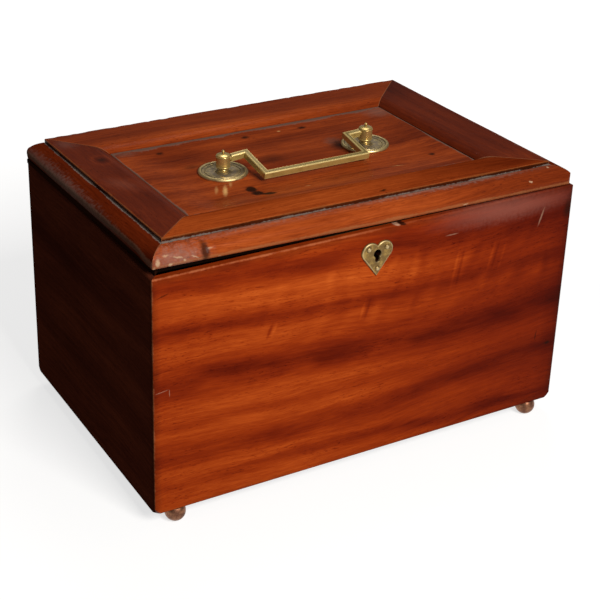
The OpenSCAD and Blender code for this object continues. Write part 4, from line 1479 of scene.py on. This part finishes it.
@dataclass
class Bail:
    """The square-bar handle: two arms, a grip and bent ends that run in the posts."""

    post_x: float = 48.0
    axis_y: float = 2.7
    axis_z: float = 169.85
    pin_in: float = 1.6
    pin_r: float = 1.5
    stub_end: float = 43.3
    wide: float = 1.6
    high: float = 2.1
    chamfer: float = 0.4
    droop: float = 12.9
    elbows: tuple[tuple[float, float], ...] = ((-33.5, 0.8), (34.2, -0.4))
    corners: tuple[tuple[float, float], ...] = ((-32.4, 1.0), (33.9, 0.9))
    arm_l: float = 22.9

    def section(self) -> tuple[np.ndarray, np.ndarray]:
        """The bar's chamfered outline and the pin's round one, as many points each, as rows of (out, up).

        Returns:
            Both outlines.
        """
        w, h, c = self.wide, self.high, self.chamfer
        spots = [(w, c - h), (w, h - c), (w - c, h), (c - w, h), (-w, h - c), (-w, c - h), (c - w, -h), (w - c, -h)]
        bar = np.concatenate([line(a, b, 4) for a, b in zip(spots, spots[1:] + spots[:1])])
        angle = np.arctan2(bar[:, 1], bar[:, 0])
        return bar, self.pin_r * np.stack([np.cos(angle), np.sin(angle)], 1)

    def build(self, material: bpy.types.Material) -> None:
        """Carries the outline round the bow, which is bent a little out of true.

        A point is axis + x * along + reach * (forward, turned down by the droop) + bend * upward + up * height;
        the outline's out value is laid along the sum of the in-plane normals of the two lengths that meet.

        Args:
            material: the finish.
        """
        bar, pin = self.section()
        tip = self.post_x + self.pin_in
        (left_x, left_z), (right_x, right_z) = self.elbows
        (near_x, near_z), (far_x, far_z) = self.corners
        spots = [(-tip, 0.0, 0.0), (-self.stub_end, 0.0, 0.0), (-self.stub_end, 0.0, 0.0), (left_x, 0.0, left_z),
                 (near_x, self.arm_l, near_z), (far_x, self.arm_l, far_z), (right_x, 0.0, right_z),
                 (self.stub_end, 0.0, 0.0), (self.stub_end, 0.0, 0.0), (tip, 0.0, 0.0)]
        level, fall, climb = (0.0, 1.0), (1.0, 1.0), (-1.0, 1.0)
        outs = [level, level, level, climb, climb, fall, fall, level, level, level]
        turn = math.radians(self.droop)
        ahead = np.array((0.0, -math.cos(turn), -math.sin(turn)))
        up = np.array((0.0, -math.sin(turn), math.cos(turn)))
        across = np.array((1.0, 0.0, 0.0))
        rings = []
        for k, ((x, reach, bend), (out_x, out_reach)) in enumerate(zip(spots, outs)):
            outline = pin if k in (0, 1, 8, 9) else bar
            sides = outline[:, :1] * (out_x * across + out_reach * ahead) + outline[:, 1:] * up
            rings.append((0.0, self.axis_y, self.axis_z + bend) + x * across + reach * ahead + sides)
        # crown marks the top faces for a painted shade; arris marks the chamfers and corners for a painted highlight
        side = np.arange(len(bar)) // 4
        start = np.arange(len(bar)) % 4 == 0
        fields = {"arris": ((side % 2 == 1) | start) * 1.0, "crown": ((side == 2) & ~start) * 1.0}
        faces = Shell.tube_faces(len(spots), len(bar), False)
        piece = Shell.make("bail_bar", np.concatenate(rings), faces,
                           {k: np.tile(v, (len(spots), 1)) for k, v in fields.items()})
        seat(piece, "bail", Body.BAIL, material)


@dataclass
class HeartPlate:
    """The heart-shaped keyhole plate with a bevelled edge, and its three domed pins."""

    face: float = -86.3
    key_z: float = 138.55
    lobe_r: float = 5.6
    lobe: tuple[float, float] = (4.45, 1.5)
    tip: float = 13.5
    key_r: float = 2.5
    slot: float = 1.5
    slot_l: float = 3.7
    thick: float = 1.2
    bevel: float = 1.1
    pins: tuple[tuple[float, float], ...] = ((-5.9, 3.5), (5.7, 3.1), (0.1, -8.9))
    pin_r: float = 1.65
    pin_h: float = 1.1
    pin_sunk: float = 0.15
    fall: float = 0.75
    hole_mm: float = 0.4
    hole_fall: float = 0.25
    rings: tuple[float, ...] = (0.0, 0.0, 0.04, 0.09, 0.2, 0.4, 0.6, 0.75, 0.84, 0.89, 0.93, 0.97, 1.0, 1.0)

    @staticmethod
    def leave(angle: np.ndarray, x: float, z: float, radius: float) -> np.ndarray:
        """How far a ray from the keyhole's centre goes until it leaves a circle, 0 where it misses.

        Args:
            angle: directions, in radians.
            x: the circle's centre, sideways.
            z: the circle's centre, upwards.
            radius: the circle's radius.

        Returns:
            The distances.
        """
        mid = x * np.cos(angle) + z * np.sin(angle)
        room = mid ** 2 - (x * x + z * z - radius * radius)
        return np.where(room > 0, mid + np.sqrt(np.maximum(room, 0.0)), 0.0)

    def outlines(self, angle: np.ndarray) -> tuple[np.ndarray, np.ndarray]:
        """Radius of the keyhole and of the heart at each angle round the keyhole's centre.

        Args:
            angle: directions, in radians.

        Returns:
            Both radii.
        """
        x, z = self.lobe
        far = math.hypot(x, z + self.tip)
        lean = math.atan2(z + self.tip, x) - math.asin(self.lobe_r / far)
        top = math.sqrt(far ** 2 - self.lobe_r ** 2) * math.sin(lean) - self.tip
        out = np.abs(np.cos(angle)) * math.sin(lean) - np.sin(angle) * math.cos(lean)
        flank = self.tip * math.cos(lean) / np.maximum(out, 1e-6)
        flank = np.where(flank * np.sin(angle) <= top, flank, 0.0)
        lobes = np.maximum(self.leave(angle, x, z, self.lobe_r), self.leave(angle, -x, z, self.lobe_r))
        wall = self.slot / np.maximum(np.abs(np.cos(angle)), 1e-6)
        wall = np.where(-wall * np.sin(angle) <= self.slot_l, wall * (np.sin(angle) < 0), 0.0)
        hole = np.maximum(self.leave(angle, 0.0, -self.slot_l, self.slot), np.minimum(wall, 5.0))
        return np.maximum(hole, self.key_r), np.maximum(lobes, np.minimum(flank, 14.0))

    def plate(self) -> bpy.types.Object:
        """Makes the plate as a grid between both outlines.

        A point is centre + ((1 - share) * keyhole + share * heart), raised by the thickness less a bevel
        that grows with the square of the nearness to the edge.

        Returns:
            The finished object.
        """
        angle = np.radians(np.arange(-90.0, 270.0, 3.0))
        hole, heart = self.outlines(angle)
        share = np.array(self.rings)[:, None]
        radius = hole + (heart - hole) * share
        near = np.clip(1 - (heart - radius) / self.bevel, 0.0, 1.0)
        inner = np.clip(1 - (radius - hole) / self.hole_mm, 0.0, 1.0)
        raised = self.thick - self.fall * near ** 2 - self.hole_fall * inner ** 2
        raised[[0, -1]] = 0.0
        points = np.stack([radius * np.cos(angle), self.face - raised, self.key_z + radius * np.sin(angle)], -1)
        # a painted highlight band inside the bevelled edge, and bare brass round the keyhole
        rub_and_highlight = np.exp(-((near - 0.45) / 0.3) ** 2) + 0.6 * inner ** 2
        flat = (1 - near) * (1 - inner)
        return Shell.make("heart_plate", points.reshape(-1, 3), Shell.torus_faces(len(share), len(angle)),
                          {"arris": rub_and_highlight, "crown": flat})

    def studs(self) -> bpy.types.Object:
        """Makes the pins as domes: radius and height follow the cosine and sine of one quarter turn.

        Returns:
            The three pins as one object.
        """
        quarter = np.radians(np.linspace(0.0, 88.0, 9))[:, None]
        turn = np.radians(np.arange(0.0, 360.0, 15.0))
        domes, faces = [], []
        for k, (x, z) in enumerate(self.pins):
            wide = self.pin_r * np.cos(quarter)
            high = self.face - self.thick + self.pin_sunk - self.pin_h * np.sin(quarter) + 0.0 * turn
            dome = np.stack([x + wide * np.cos(turn), high, self.key_z + z + wide * np.sin(turn)], -1)
            domes.append(dome.reshape(-1, 3))
            shell = Shell.tube_faces(len(quarter), len(turn), True)
            faces += [[corner + k * len(domes[0]) for corner in face] for face in shell]
        # painted highlight on the top of each dome
        shine = np.tile(np.repeat(np.sin(quarter[:, 0]) ** 2, len(turn)), len(self.pins))
        return Shell.make("heart_pins", np.concatenate(domes), faces, {"arris": shine, "crown": shine * 0.0})

    def build(self, material: bpy.types.Material) -> None:
        """Makes the plate and its pins in one finish."""
        seat(self.plate(), "escutcheon", Body.CASE, material)
        seat(self.studs(), "escutcheon_pins", Body.CASE, material)


@dataclass
class Studio:
    """Pale floor, soft lamps and the camera of the photograph."""

    eye: Triple = (-406.61, -677.158, 486.509)
    turn: tuple[Triple, Triple, Triple] = ((0.884537, 0.192174, -0.425046), (-0.466393, 0.380982, -0.79833),
                                           (0.008517, 0.904391, 0.426621))
    lens: float = 87.4835
    shift: tuple[float, float] = (0.120633, -0.113329)
    floor_r: float = 9.0

    def camera(self) -> None:
        """Sets the camera at the photograph's angle."""
        data = bpy.data.cameras.new("photo_camera")
        data.lens, data.sensor_width, data.sensor_fit = self.lens, 36.0, "HORIZONTAL"
        data.shift_x, data.shift_y = self.shift
        data.clip_start, data.clip_end = 0.05, 50.0
        camera = bpy.data.objects.new("photo_camera", data)
        camera.matrix_world = Matrix.Translation(Vector(self.eye) * MM) @ Matrix(self.turn).to_4x4()
        bpy.context.scene.collection.objects.link(camera)
        bpy.context.scene.camera = camera

    def floor(self) -> None:
        """A round floor: rings of points, the radius growing as a power of the ring's share."""
        rings, around = 40, 96
        radius = self.floor_r * np.linspace(0.02, 1.0, rings) ** 2.0 / MM
        angle = np.linspace(0.0, 2 * math.pi, around, endpoint=False)
        x, y = radius[:, None] * np.cos(angle), radius[:, None] * np.sin(angle)
        points = np.stack([x, y, np.zeros_like(x)], -1).reshape(-1, 3)
        faces = Shell.tube_faces(rings, around, True)[:-2] + [list(range(around))]
        floor = Shell.make("studio_floor", points, faces, {})
        material, sheet = new_material("studio_floor")
        p = sheet.place()
        path = {k: sheet.node("ShaderNodeLightPath", {}, {}, k)
                for k in ("Is Camera Ray", "Is Glossy Ray", "Is Transmission Ray")}
        seen = path["Is Camera Ray"].most(path["Is Glossy Ray"]).most(path["Is Transmission Ray"])
        away = sheet.length(p.vector).smooth(250.0, 900.0)
        glow = sheet.node("ShaderNodeEmission", {}, {"Color": (1, 1, 1, 1), "Strength": away * 0.3 + 0.7})
        pale = sheet.node("ShaderNodeBsdfDiffuse", {}, {"Color": (0.36, 0.36, 0.36, 1)})
        lit = sheet.node("ShaderNodeAddShader", {}, {0: glow, 1: pale})
        bounce = sheet.node("ShaderNodeBsdfDiffuse", {}, {"Color": (0.3, 0.29, 0.28, 1)})
        both = sheet.node("ShaderNodeMixShader", {}, {0: seen, 1: bounce, 2: lit})
        sheet.node("ShaderNodeOutputMaterial", {}, {"Surface": both})
        floor.data.materials.append(material)

    @staticmethod
    def lamp(name: str, place: Triple, aim: Triple, size: float, watts: float, tint: Colour) -> None:
        """Hangs one square soft lamp.

        Args:
            name: the lamp's name.
            place: where it hangs, in metres.
            aim: the point it faces, in metres.
            size: side of the square, in metres.
            watts: power.
            tint: colour of its light.
        """
        data = bpy.data.lights.new(name, "AREA")
        data.size, data.energy, data.color = size, watts, tint
        lamp = bpy.data.objects.new(name, data)
        lamp.location = place
        lamp.rotation_euler = (Vector(aim) - Vector(place)).to_track_quat("-Z", "Y").to_euler()
        bpy.context.scene.collection.objects.link(lamp)

    def lights(self) -> None:
        """Key lamp before the front, a smaller lamp over the back, a dim even world."""
        self.lamp("key_lamp", (0.05, -1.25, 1.05), (0.0, 0.0, 0.1), 0.55, 27.0, (1.0, 0.97, 0.93))
        self.lamp("top_lamp", (0.35, 0.55, 1.3), (0.0, 0.0, 0.15), 0.5, 4.0, (1.0, 0.97, 0.94))
        world = bpy.data.worlds.new("studio_air")
        bpy.context.scene.world = world
        world.use_nodes = True
        sheet = Sheet(world.node_tree)
        air = sheet.node("ShaderNodeBackground", {}, {"Color": (1.0, 0.98, 0.96, 1.0), "Strength": 0.16})
        sheet.node("ShaderNodeOutputWorld", {}, {"Surface": air})

    def build(self) -> None:
        """Sets up the whole stage."""
        self.camera()
        self.floor()
        self.lights()
        bpy.context.scene.view_settings.view_transform = "Standard"


RED_TONES: Tones = ((0.0, (0.004, 0.001, 0.0005)), (0.05, (0.046, 0.0028, 0.0008)), (0.1, (0.092, 0.0062, 0.0012)),
                    (0.2, (0.183, 0.0165, 0.0023)), (0.3, (0.273, 0.031, 0.0034)), (0.45, (0.41, 0.063, 0.0075)),
                    (0.6, (0.545, 0.105, 0.015)), (0.85, (0.7, 0.19, 0.04)))
LID_TONES: Tones = ((0.0, (0.004, 0.001, 0.0005)), (0.05, (0.05, 0.0055, 0.0012)), (0.1, (0.1, 0.0125, 0.0025)),
                    (0.2, (0.2, 0.03, 0.005)), (0.3, (0.3, 0.052, 0.0085)), (0.45, (0.45, 0.095, 0.018)),
                    (0.6, (0.6, 0.15, 0.032)), (0.85, (0.75, 0.25, 0.07)))
DARK_TONES: Tones = ((0.0, (0.004, 0.001, 0.0005)), (0.05, (0.05, 0.011, 0.0055)), (0.1, (0.1, 0.022, 0.01)),
                     (0.2, (0.2, 0.048, 0.018)), (0.4, (0.4, 0.12, 0.04)))
PALE_TONES: Tones = ((0.0, (0.03, 0.012, 0.005)), (0.12, (0.12, 0.055, 0.024)), (0.2, (0.2, 0.095, 0.042)),
                     (0.3, (0.3, 0.15, 0.07)), (0.5, (0.46, 0.26, 0.13)))


@dataclass
class Case:
    """The four boards, the bottom and the partitions of the case."""

    half_x: float = 135.0
    front: float = -86.3
    back: float = 87.7
    base: float = 9.45
    rim: float = 152.95
    key_z: float = 138.55

    def edges(self, face: Axis, at: float, low: float, ends: float, high: float = 0.0) -> tuple[Edge, ...]:
        """The four arrises round one outer face.

        Args:
            face: the axis that the face looks along.
            at: where the face lies.
            low: how much the polish still covers the lower arris, in millimetres.
            ends: the same for the upright arrises.
            high: the same for the upper arris.

        Returns:
            The arrises.
        """
        side = Axis.Y if face is Axis.X else Axis.X
        sides = (self.front, self.back) if face is Axis.X else (-self.half_x, self.half_x)
        level = (Edge(face, at, Axis.Z, self.base, low), Edge(face, at, Axis.Z, self.rim, high))
        return level + tuple(Edge(face, at, side, e, ends) for e in sides)

    def front_wood(self) -> FrontMahogany:
        """The finish of the front board, with the ribbons and marks of its face.

        Returns:
            The finish.
        """
        y = self.front
        ribbons = (
            Ribbon(((-125, 146.5), (-50, 143), (0, 140), (50, 138), (125, 138)), (4.5, 10.0), (0.5, 0.5)),
            Ribbon(((-125, 118.5), (-75, 115.5), (-30, 112.5), (25, 110.5), (75, 111), (125, 112)), (4.0, 4.0),
                   (0.5, 0.3)),
            Ribbon(((-125, 89), (-75, 86), (-25, 83.5), (25, 79.5), (75, 79), (125, 83)), (8.0, 8.0), (0.6, 0.6)),
            Ribbon(((-125, 62), (-75, 60), (-25, 58), (125, 58)), (2.0, 2.5), (0.25, 0.1)),
            Ribbon(((-125, 44), (-75, 41), (-25, 40), (25, 41), (75, 46), (125, 48)), (5.5, 5.5), (0.5, 0.5)),
            Ribbon(((-125, 24.5), (-25, 24), (25, 20), (75, 18), (125, 17)), (3.0, 3.5), (0.3, 0.5)))
        flames = tuple(Mark((x, y, z), (1.5, 9.0, tall), (0.0, lean, 0.0), 0.8, s) for x, z, tall, lean, s in (
            (-66.0, 106.5, 6.5, 22.0, -0.35), (-63.0, 107.0, 6.0, 22.0, 0.22), (-7.0, 105.5, 9.0, 16.0, 0.3),
            (-4.0, 105.0, 9.0, 16.0, -0.25), (54.0, 117.0, 17.0, 10.0, 0.28), (57.5, 117.0, 17.0, 10.0, -0.25),
            (79.0, 119.0, 13.0, 14.0, 0.3), (82.0, 119.0, 13.0, 14.0, -0.25), (87.0, 118.0, 13.0, 14.0, 0.22)))
        glow = (Mark((-20.0, y, 130.0), (150.0, 9.0, 13.0), (0.0, 3.0, 0.0), 0.9, 0.28),)
        return FrontMahogany(
            "polished_front", Axis.X, Axis.Z, RED_TONES, 1.0, 1.0, specular=0.02, rough=0.3, fibre=0.7,
            # the front's arris colour also paints the highlight along its top edge
            shades=flames + glow, edges=self.edges(Axis.Y, y, 1.2, 0.3), worn=(0.42, 0.13, 0.05), worn_mm=0.45,
            fall=((0.0, 0.35), (0.25, 0.39), (0.4, 0.37), (0.55, 0.32), (0.75, 0.25), (0.95, 0.18), (1.0, 0.12)),
            ribbons=ribbons,
            # the first mark is a painted shade filling the keyhole; the others are bruise marks
            bruises_and_shade=(Mark((0.0, y, self.key_z - 1.5), (4.5, 24.0, 6.5), edge=0.2, strength=0.97),) + face_marks(y,
                (128.0, 50.0, 3.0, 1.6, 0.0, 0.8, 0.8), (118.5, 57.5, 0.6, 4.5, 6.0, 0.7, 0.7),
                (132.0, 138.0, 4.0, 9.0, 0.0, 0.9, 0.7), (16.0, 152.6, 3.5, 0.9, 14.0, 0.6, 0.9),
                (-129.0, 142.5, 5.0, 0.5, -16.0, 0.6, 0.6)),
            scratches=face_marks(y, (113.0, 137.0, 0.9, 7.5, 18.0, 0.7, 0.45),
                                    (50.0, 139.0, 5.6, 0.6, 0.0, 0.7, 0.4),
                                    (12.0, 153.2, 3.2, 1.0, 20.0, 0.6, 0.8),
                                    (-130.0, 86.4, 4.8, 0.3, -8.0, 0.5, 0.5),
                                    (-125.6, 84.6, 0.3, 2.6, 0.0, 0.5, 0.5)),
            # painted reflection high on the right of the front
            bloom_and_sheen=face_marks(y, (88.0, 147.0, 66.0, 11.0, 0.0, 0.95, 0.5), (70.0, 151.5, 50.0, 4.0, 0.0, 0.9, 0.3)))

    def build(self) -> None:
        """Dresses the boards."""
        dress("front_board", self.front_wood().material())
        for node, face, at, along, seed in (("left_side", Axis.X, -self.half_x, Axis.Y, 3.0),
                                            ("right_side", Axis.X, self.half_x, Axis.Y, 7.0),
                                            ("back_board", Axis.Y, self.back, Axis.X, 11.0)):
            wood = Mahogany("dark_" + node, along, Axis.Z, DARK_TONES, 0.07, seed, specular=0.0, rough=0.45,
                            stripe_mm=26.0, stripe=0.7, edges=self.edges(face, at, 0.8, 0.6, 1.6),
                            worn=(0.16, 0.06, 0.025))
            dress(node, wood.material())
        inside = InsideWood("well_wood", Axis.Y, Axis.Z, PALE_TONES, 0.24, 2.0, specular=0.1, rough=0.62, stripe_mm=9.0,
                            grime_and_shade=(0.07, 0.03, 0.015)).material()
        bottom = InsideWood("bottom_wood", Axis.X, Axis.Y, PALE_TONES, 0.24, 5.0, specular=0.1, rough=0.65,
                            stripe_mm=12.0, grime_and_shade=(0.07, 0.03, 0.015)).material()
        for node, material in (("left_partition", inside), ("right_partition", inside), ("bottom_board", bottom)):
            dress(node, material)


@dataclass
class Fittings:
    """Brass and iron: handle, heart plate, feet, hinges and lock."""

    post_x: float = 48.0
    handle_y: float = 2.7

    def build(self) -> None:
        """Dresses every metal node."""
        gold = Brass("aged_brass", (0.6, 0.44, 0.16), (0.3, 0.2, 0.06), 0.4, 0.26, metal=0.75).material()
        # on the bar, olive is a painted shade of the top faces and the bright arris colour a painted highlight of the
        # chamfers; on the plate and pins the bright colour is a painted highlight
        bar = BarBrass("bar_brass", (0.5, 0.36, 0.11), (0.3, 0.2, 0.05), 0.4, 0.26, metal=0.45,
                       olive=(0.15, 0.11, 0.028), rubbed_and_highlight=(0.74, 0.58, 0.25)).material()
        plate = BarBrass("plate_brass", (0.42, 0.265, 0.065), (0.1, 0.055, 0.016), 0.6, 0.28, 3.2, metal=0.65,
                         crown=0.3, shine=0.65, olive=(0.28, 0.17, 0.04), rubbed_and_highlight=(0.74, 0.58, 0.3)).material()
        inner = Brass("inner_brass", (0.52, 0.38, 0.15), (0.25, 0.17, 0.07), 0.45, 0.38, 8.0).material()
        foot = Brass("foot_brass", (0.3, 0.14, 0.075), (0.13, 0.055, 0.033), 0.5, 0.32, 4.0).material()
        iron = Brass("dull_iron", (0.2, 0.19, 0.17), (0.06, 0.045, 0.035), 0.6, 0.5, 5.0).material()
        Bail().build(bar)
        HeartPlate().build(plate)
        for side, x in (("left", -self.post_x), ("right", self.post_x)):
            rose = RoseBrass(side + "_rose_brass", (0.6, 0.46, 0.21), (0.25, 0.2, 0.125), 0.6, 0.4, 3.0,
                             centre=(x, self.handle_y, 0.0))
            dress(side + "_rose", rose.material())
        groups = {
            gold: ("left_post", "right_post"),
            foot: ("front_left_foot", "front_right_foot", "back_left_foot", "back_right_foot"),
            inner: ("lock_plate", "lock_screws", "left_case_leaf", "right_case_leaf", "left_lid_leaf",
                    "right_lid_leaf", "case_leaf_screws", "lid_leaf_screws", "link_plate", "link_screws",
                    "left_nut", "right_nut"),
            iron: ("lock_cap", "drill_pin", "lock_bolt", "lock_spring", "left_hinge_pin", "right_hinge_pin")}
        for material, nodes in groups.items():
            for node in nodes:
                dress(node, material)


def lid_finishes() -> dict[str, bpy.types.Material]:
    """The finishes of the lid's pieces by the CAD node that each stands for.

    Returns:
        The materials.
    """
    # in the frame the step darkening is painted shade on the faces that rise from the mouldings
    frame_wood = {"rough": 0.28, "stripe_mm": 11.0, "stripe": 0.4, "step_shade_mm": 2.0, "wax_mm": 0.3,
                  "worn": (0.42, 0.12, 0.03), "arris_share": 0.3, "top_z": 159.5}
    front = LidMahogany(
        "lid_front_rail", Axis.X, Axis.Y, LID_TONES, 0.27, 4.0, specular=0.0,
        shades=edge_marks((135.0, -64.0, 162.0, 170.0, 110.0, 40.0, 0.0, 0.95, -0.55),
                          (-60.0, -57.0, 162.0, 70.0, 7.0, 30.0, 0.0, 0.9, -0.15)),
        burns_and_shadows=top_marks(20.0, (12.5, -71.0, 4.0, 1.6, 20.0, 0.7, 0.8)), **frame_wood)
    back = LidMahogany(
        "lid_back_rail", Axis.X, Axis.Y, LID_TONES, 0.17, 9.0, specular=0.02,
        shades=top_marks(30.0, (-40.0, 60.0, 160.0, 9.0, 0.0, 0.9, 0.65),
                               (100.0, 60.0, 110.0, 9.0, 0.0, 0.9, 0.25)), **frame_wood)
    left = LidMahogany(
        "lid_left_stile", Axis.Y, Axis.X, LID_TONES, 0.093, 6.0, specular=0.035,
        shades=top_marks(30.0, (-110.0, -2.0, 14.0, 22.0, 25.0, 0.9, 0.5),
                               (-107.5, 39.0, 9.0, 11.0, 0.0, 0.7, 0.6), (-107.5, 39.0, 6.0, 8.0, 0.0, 0.5, -0.5)),
        burns_and_shadows=top_marks(20.0, (-107.5, 39.0, 3.2, 4.4, 0.0, 0.8, 0.7)),
        # painted sheen on the left stile
        bloom_and_sheen=top_marks(20.0, (-116.0, 72.0, 10.0, 12.0, 0.0, 0.95, 0.12),
                              (-112.0, 0.0, 9.0, 18.0, 25.0, 0.95, 0.07)), **frame_wood)
    right = LidMahogany(
        "lid_right_stile", Axis.Y, Axis.X, LID_TONES, 0.09, 8.0, specular=0.03,
        shades=top_marks(30.0, (112.0, -62.0, 30.0, 16.0, 0.0, 0.9, 0.35),
                               (112.0, 80.0, 30.0, 45.0, 0.0, 0.95, -0.4)), **frame_wood)
    thumb = LidMahogany(
        "front_thumb", Axis.X, Axis.Z, LID_TONES, 0.27, 12.0, specular=0.04, rough=0.3, stripe_mm=7.0, stripe=0.4,
        wax_mm=0.3, step_shade_mm=0.3, arris_mm=0.5, arris_share=0.4,
        shades=top_marks(60.0, (135.0, -82.0, 150.0, 40.0, 0.0, 0.95, -0.4)),
        burns_and_shadows=edge_marks((-104.0, -85.0, 162.0, 3.2, 9.0, 9.0, 0.0, 0.7, 0.8),
                         (35.0, -85.0, 154.6, 4.0, 9.0, 1.0, 0.0, 0.8, 0.6)),
        # chip marks on the left end, light enough to stand as painted glints too
        chips_and_glints=edge_marks((-124.0, -85.0, 159.0, 1.6, 9.0, 1.2, 0.0, 0.6, 0.8),
                         (-131.0, -84.0, 161.0, 1.8, 5.0, 2.6, 0.0, 0.6, 0.8),
                         (-116.0, -84.0, 160.0, 1.2, 9.0, 0.9, 0.0, 0.6, 0.7),
                         (-128.0, -84.0, 157.0, 1.4, 9.0, 0.7, 0.0, 0.6, 0.8),
                         (-119.5, -84.0, 162.0, 3.6, 9.0, 0.6, 12.0, 0.7, 0.7),
                         (-110.0, -84.0, 160.5, 3.0, 9.0, 0.5, 20.0, 0.7, 0.6),
                         (-126.0, -82.0, 163.6, 2.6, 4.0, 0.7, 0.0, 0.7, 0.7),
                         (-101.0, -84.0, 163.0, 2.2, 9.0, 0.5, 0.0, 0.7, 0.5),
                         (-96.0, -85.0, 158.0, 1.4, 9.0, 0.4, 0.0, 0.7, 0.5),
                         (-133.0, -84.0, 157.0, 1.0, 5.0, 3.0, 0.0, 0.6, 0.7),
                         (104.0, -83.0, 160.0, 1.6, 9.0, 0.7, 25.0, 0.6, 0.7),
                         (121.0, -78.0, 162.0, 1.2, 1.4, 3.0, 0.0, 0.6, 0.8),
                         (58.0, -85.0, 155.5, 2.4, 9.0, 0.5, 0.0, 0.6, 0.6)),
        # the first is a painted sheen on the chipped left end; the others are wax along the step
        bloom_and_sheen=edge_marks((-120.0, -82.0, 160.0, 26.0, 9.0, 9.0, 0.0, 0.9, 0.45),
                         (40.0, -76.0, 164.0, 110.0, 4.0, 6.0, 0.0, 0.9, 0.4),
                         (-75.0, -76.0, 164.0, 60.0, 4.0, 6.0, 0.0, 0.9, 0.4)))
    # the side mouldings have no gloss: their arris colour is a painted sheen along the nose, their underside colour a
    # painted shade
    side = LidMahogany(
        "side_thumb", Axis.Y, Axis.Z, LID_TONES, 0.085, 13.0, specular=0.0, rough=0.34, stripe_mm=7.0, stripe=0.4,
        wax_mm=0.5, step_shade_mm=0.0, arris_mm=1.6, arris_share=0.5, worn=(0.13, 0.075, 0.05), under=(0.022, 0.007, 0.0035),
        bloom_and_sheen=edge_marks((-135.0, 20.0, 160.0, 9.0, 110.0, 6.0, 0.0, 0.95, 0.3)))
    # along the panel's sunken border the step darkening is painted shade
    panel = LidMahogany(
        "lid_panel_top", Axis.X, Axis.Y, LID_TONES, 0.215, 15.0, specular=0.02, rough=0.24, stripe_mm=12.0, stripe=0.85,
        fibre=1.1, top_z=159.5, wax=(0.17, 0.11, 0.085), wax_share=0.5, chip_and_glint=(0.62, 0.36, 0.13), wax_mm=1.4,
        step_shade_mm=0.6,
        shades=top_marks(30.0, (0.0, -46.0, 130.0, 34.0, 0.0, 0.9, 0.35),
                               (-66.0, 34.0, 38.0, 18.0, 0.0, 0.9, -0.5), (95.0, 5.0, 34.0, 60.0, 0.0, 0.9, -0.3),
                               (10.0, 32.0, 95.0, 13.0, 0.0, 0.9, -0.4), (0.0, -2.0, 40.0, 6.0, 0.0, 0.9, -0.25)),
        # the crescent and small spots are burn marks; the patches at (34, 8), (-30, -8) and (-60, 18) are painted
        # shadows of the right post, the handle's left arm and the left post
        burns_and_shadows=top_marks(20.0, (-45.0, -25.5, 4.2, 5.0, -10.0, 0.5, 0.95),
                              (-44.6, -32.5, 4.4, 4.6, 20.0, 0.5, 0.95),
                              (-39.5, -36.5, 5.2, 3.0, -12.0, 0.5, 0.95), (-11.3, 44.0, 4.0, 2.6, 0.0, 0.8, 0.85),
                              (27.8, 43.3, 4.2, 2.6, 0.0, 0.8, 0.9), (-68.8, 43.3, 3.4, 2.8, 0.0, 0.8, 0.8),
                              (75.0, -28.5, 3.0, 2.4, 0.0, 0.8, 0.85), (34.0, 8.0, 10.0, 11.0, 0.0, 0.95, 0.75),
                              (-30.0, -8.0, 5.0, 11.0, -20.0, 0.9, 0.6), (-60.0, 18.0, 9.0, 6.0, 0.0, 0.95, 0.5),
                              (-14.0, 8.0, 16.0, 10.0, 0.0, 0.95, 0.45)),
        # the first three are a painted reflection of the left post in the panel; the rest are chip marks and scratches
        chips_and_glints=top_marks(20.0, (-59.0, -21.0, 2.0, 10.0, -27.0, 0.95, 0.8),
                              (-63.0, -18.0, 1.5, 8.0, -27.0, 0.95, 0.35),
                              (-52.0, -14.0, 1.5, 6.0, -27.0, 0.95, 0.35), (12.0, 44.0, 1.6, 1.0, 0.0, 0.7, 0.6),
                              (-22.0, 12.0, 3.0, 0.7, 30.0, 0.7, 0.5), (47.0, -34.0, 6.0, 0.4, -16.0, 0.7, 0.5),
                              (-15.0, -37.0, 2.4, 0.5, -16.0, 0.7, 0.5)),
        bloom_and_sheen=top_marks(20.0, (86.0, 46.0, 16.0, 13.0, 0.0, 0.9, 0.4), (34.0, 16.0, 8.0, 9.0, 0.0, 0.9, 0.3),
                              (-88.0, 50.0, 10.0, 8.0, 0.0, 0.9, 0.3)))
    woods = {"lid_front_rail": front, "lid_back_rail": back, "lid_left_stile": left, "lid_right_stile": right,
             "lid_front_moulding": thumb, "lid_left_moulding": side, "lid_panel": panel}
    made = {node: wood.material() for node, wood in woods.items()}
    made["lid_right_moulding"] = made["lid_left_moulding"]
    return made


def main() -> None:
    """Builds the stage, then dresses the case, the lid and the fittings."""
    logging.basicConfig(level=logging.INFO, format="%(name)s: %(message)s")
    Studio().build()
    Case().build()
    Lid().build(lid_finishes())
    Fittings().build()


if __name__ == "__main__":
    main()
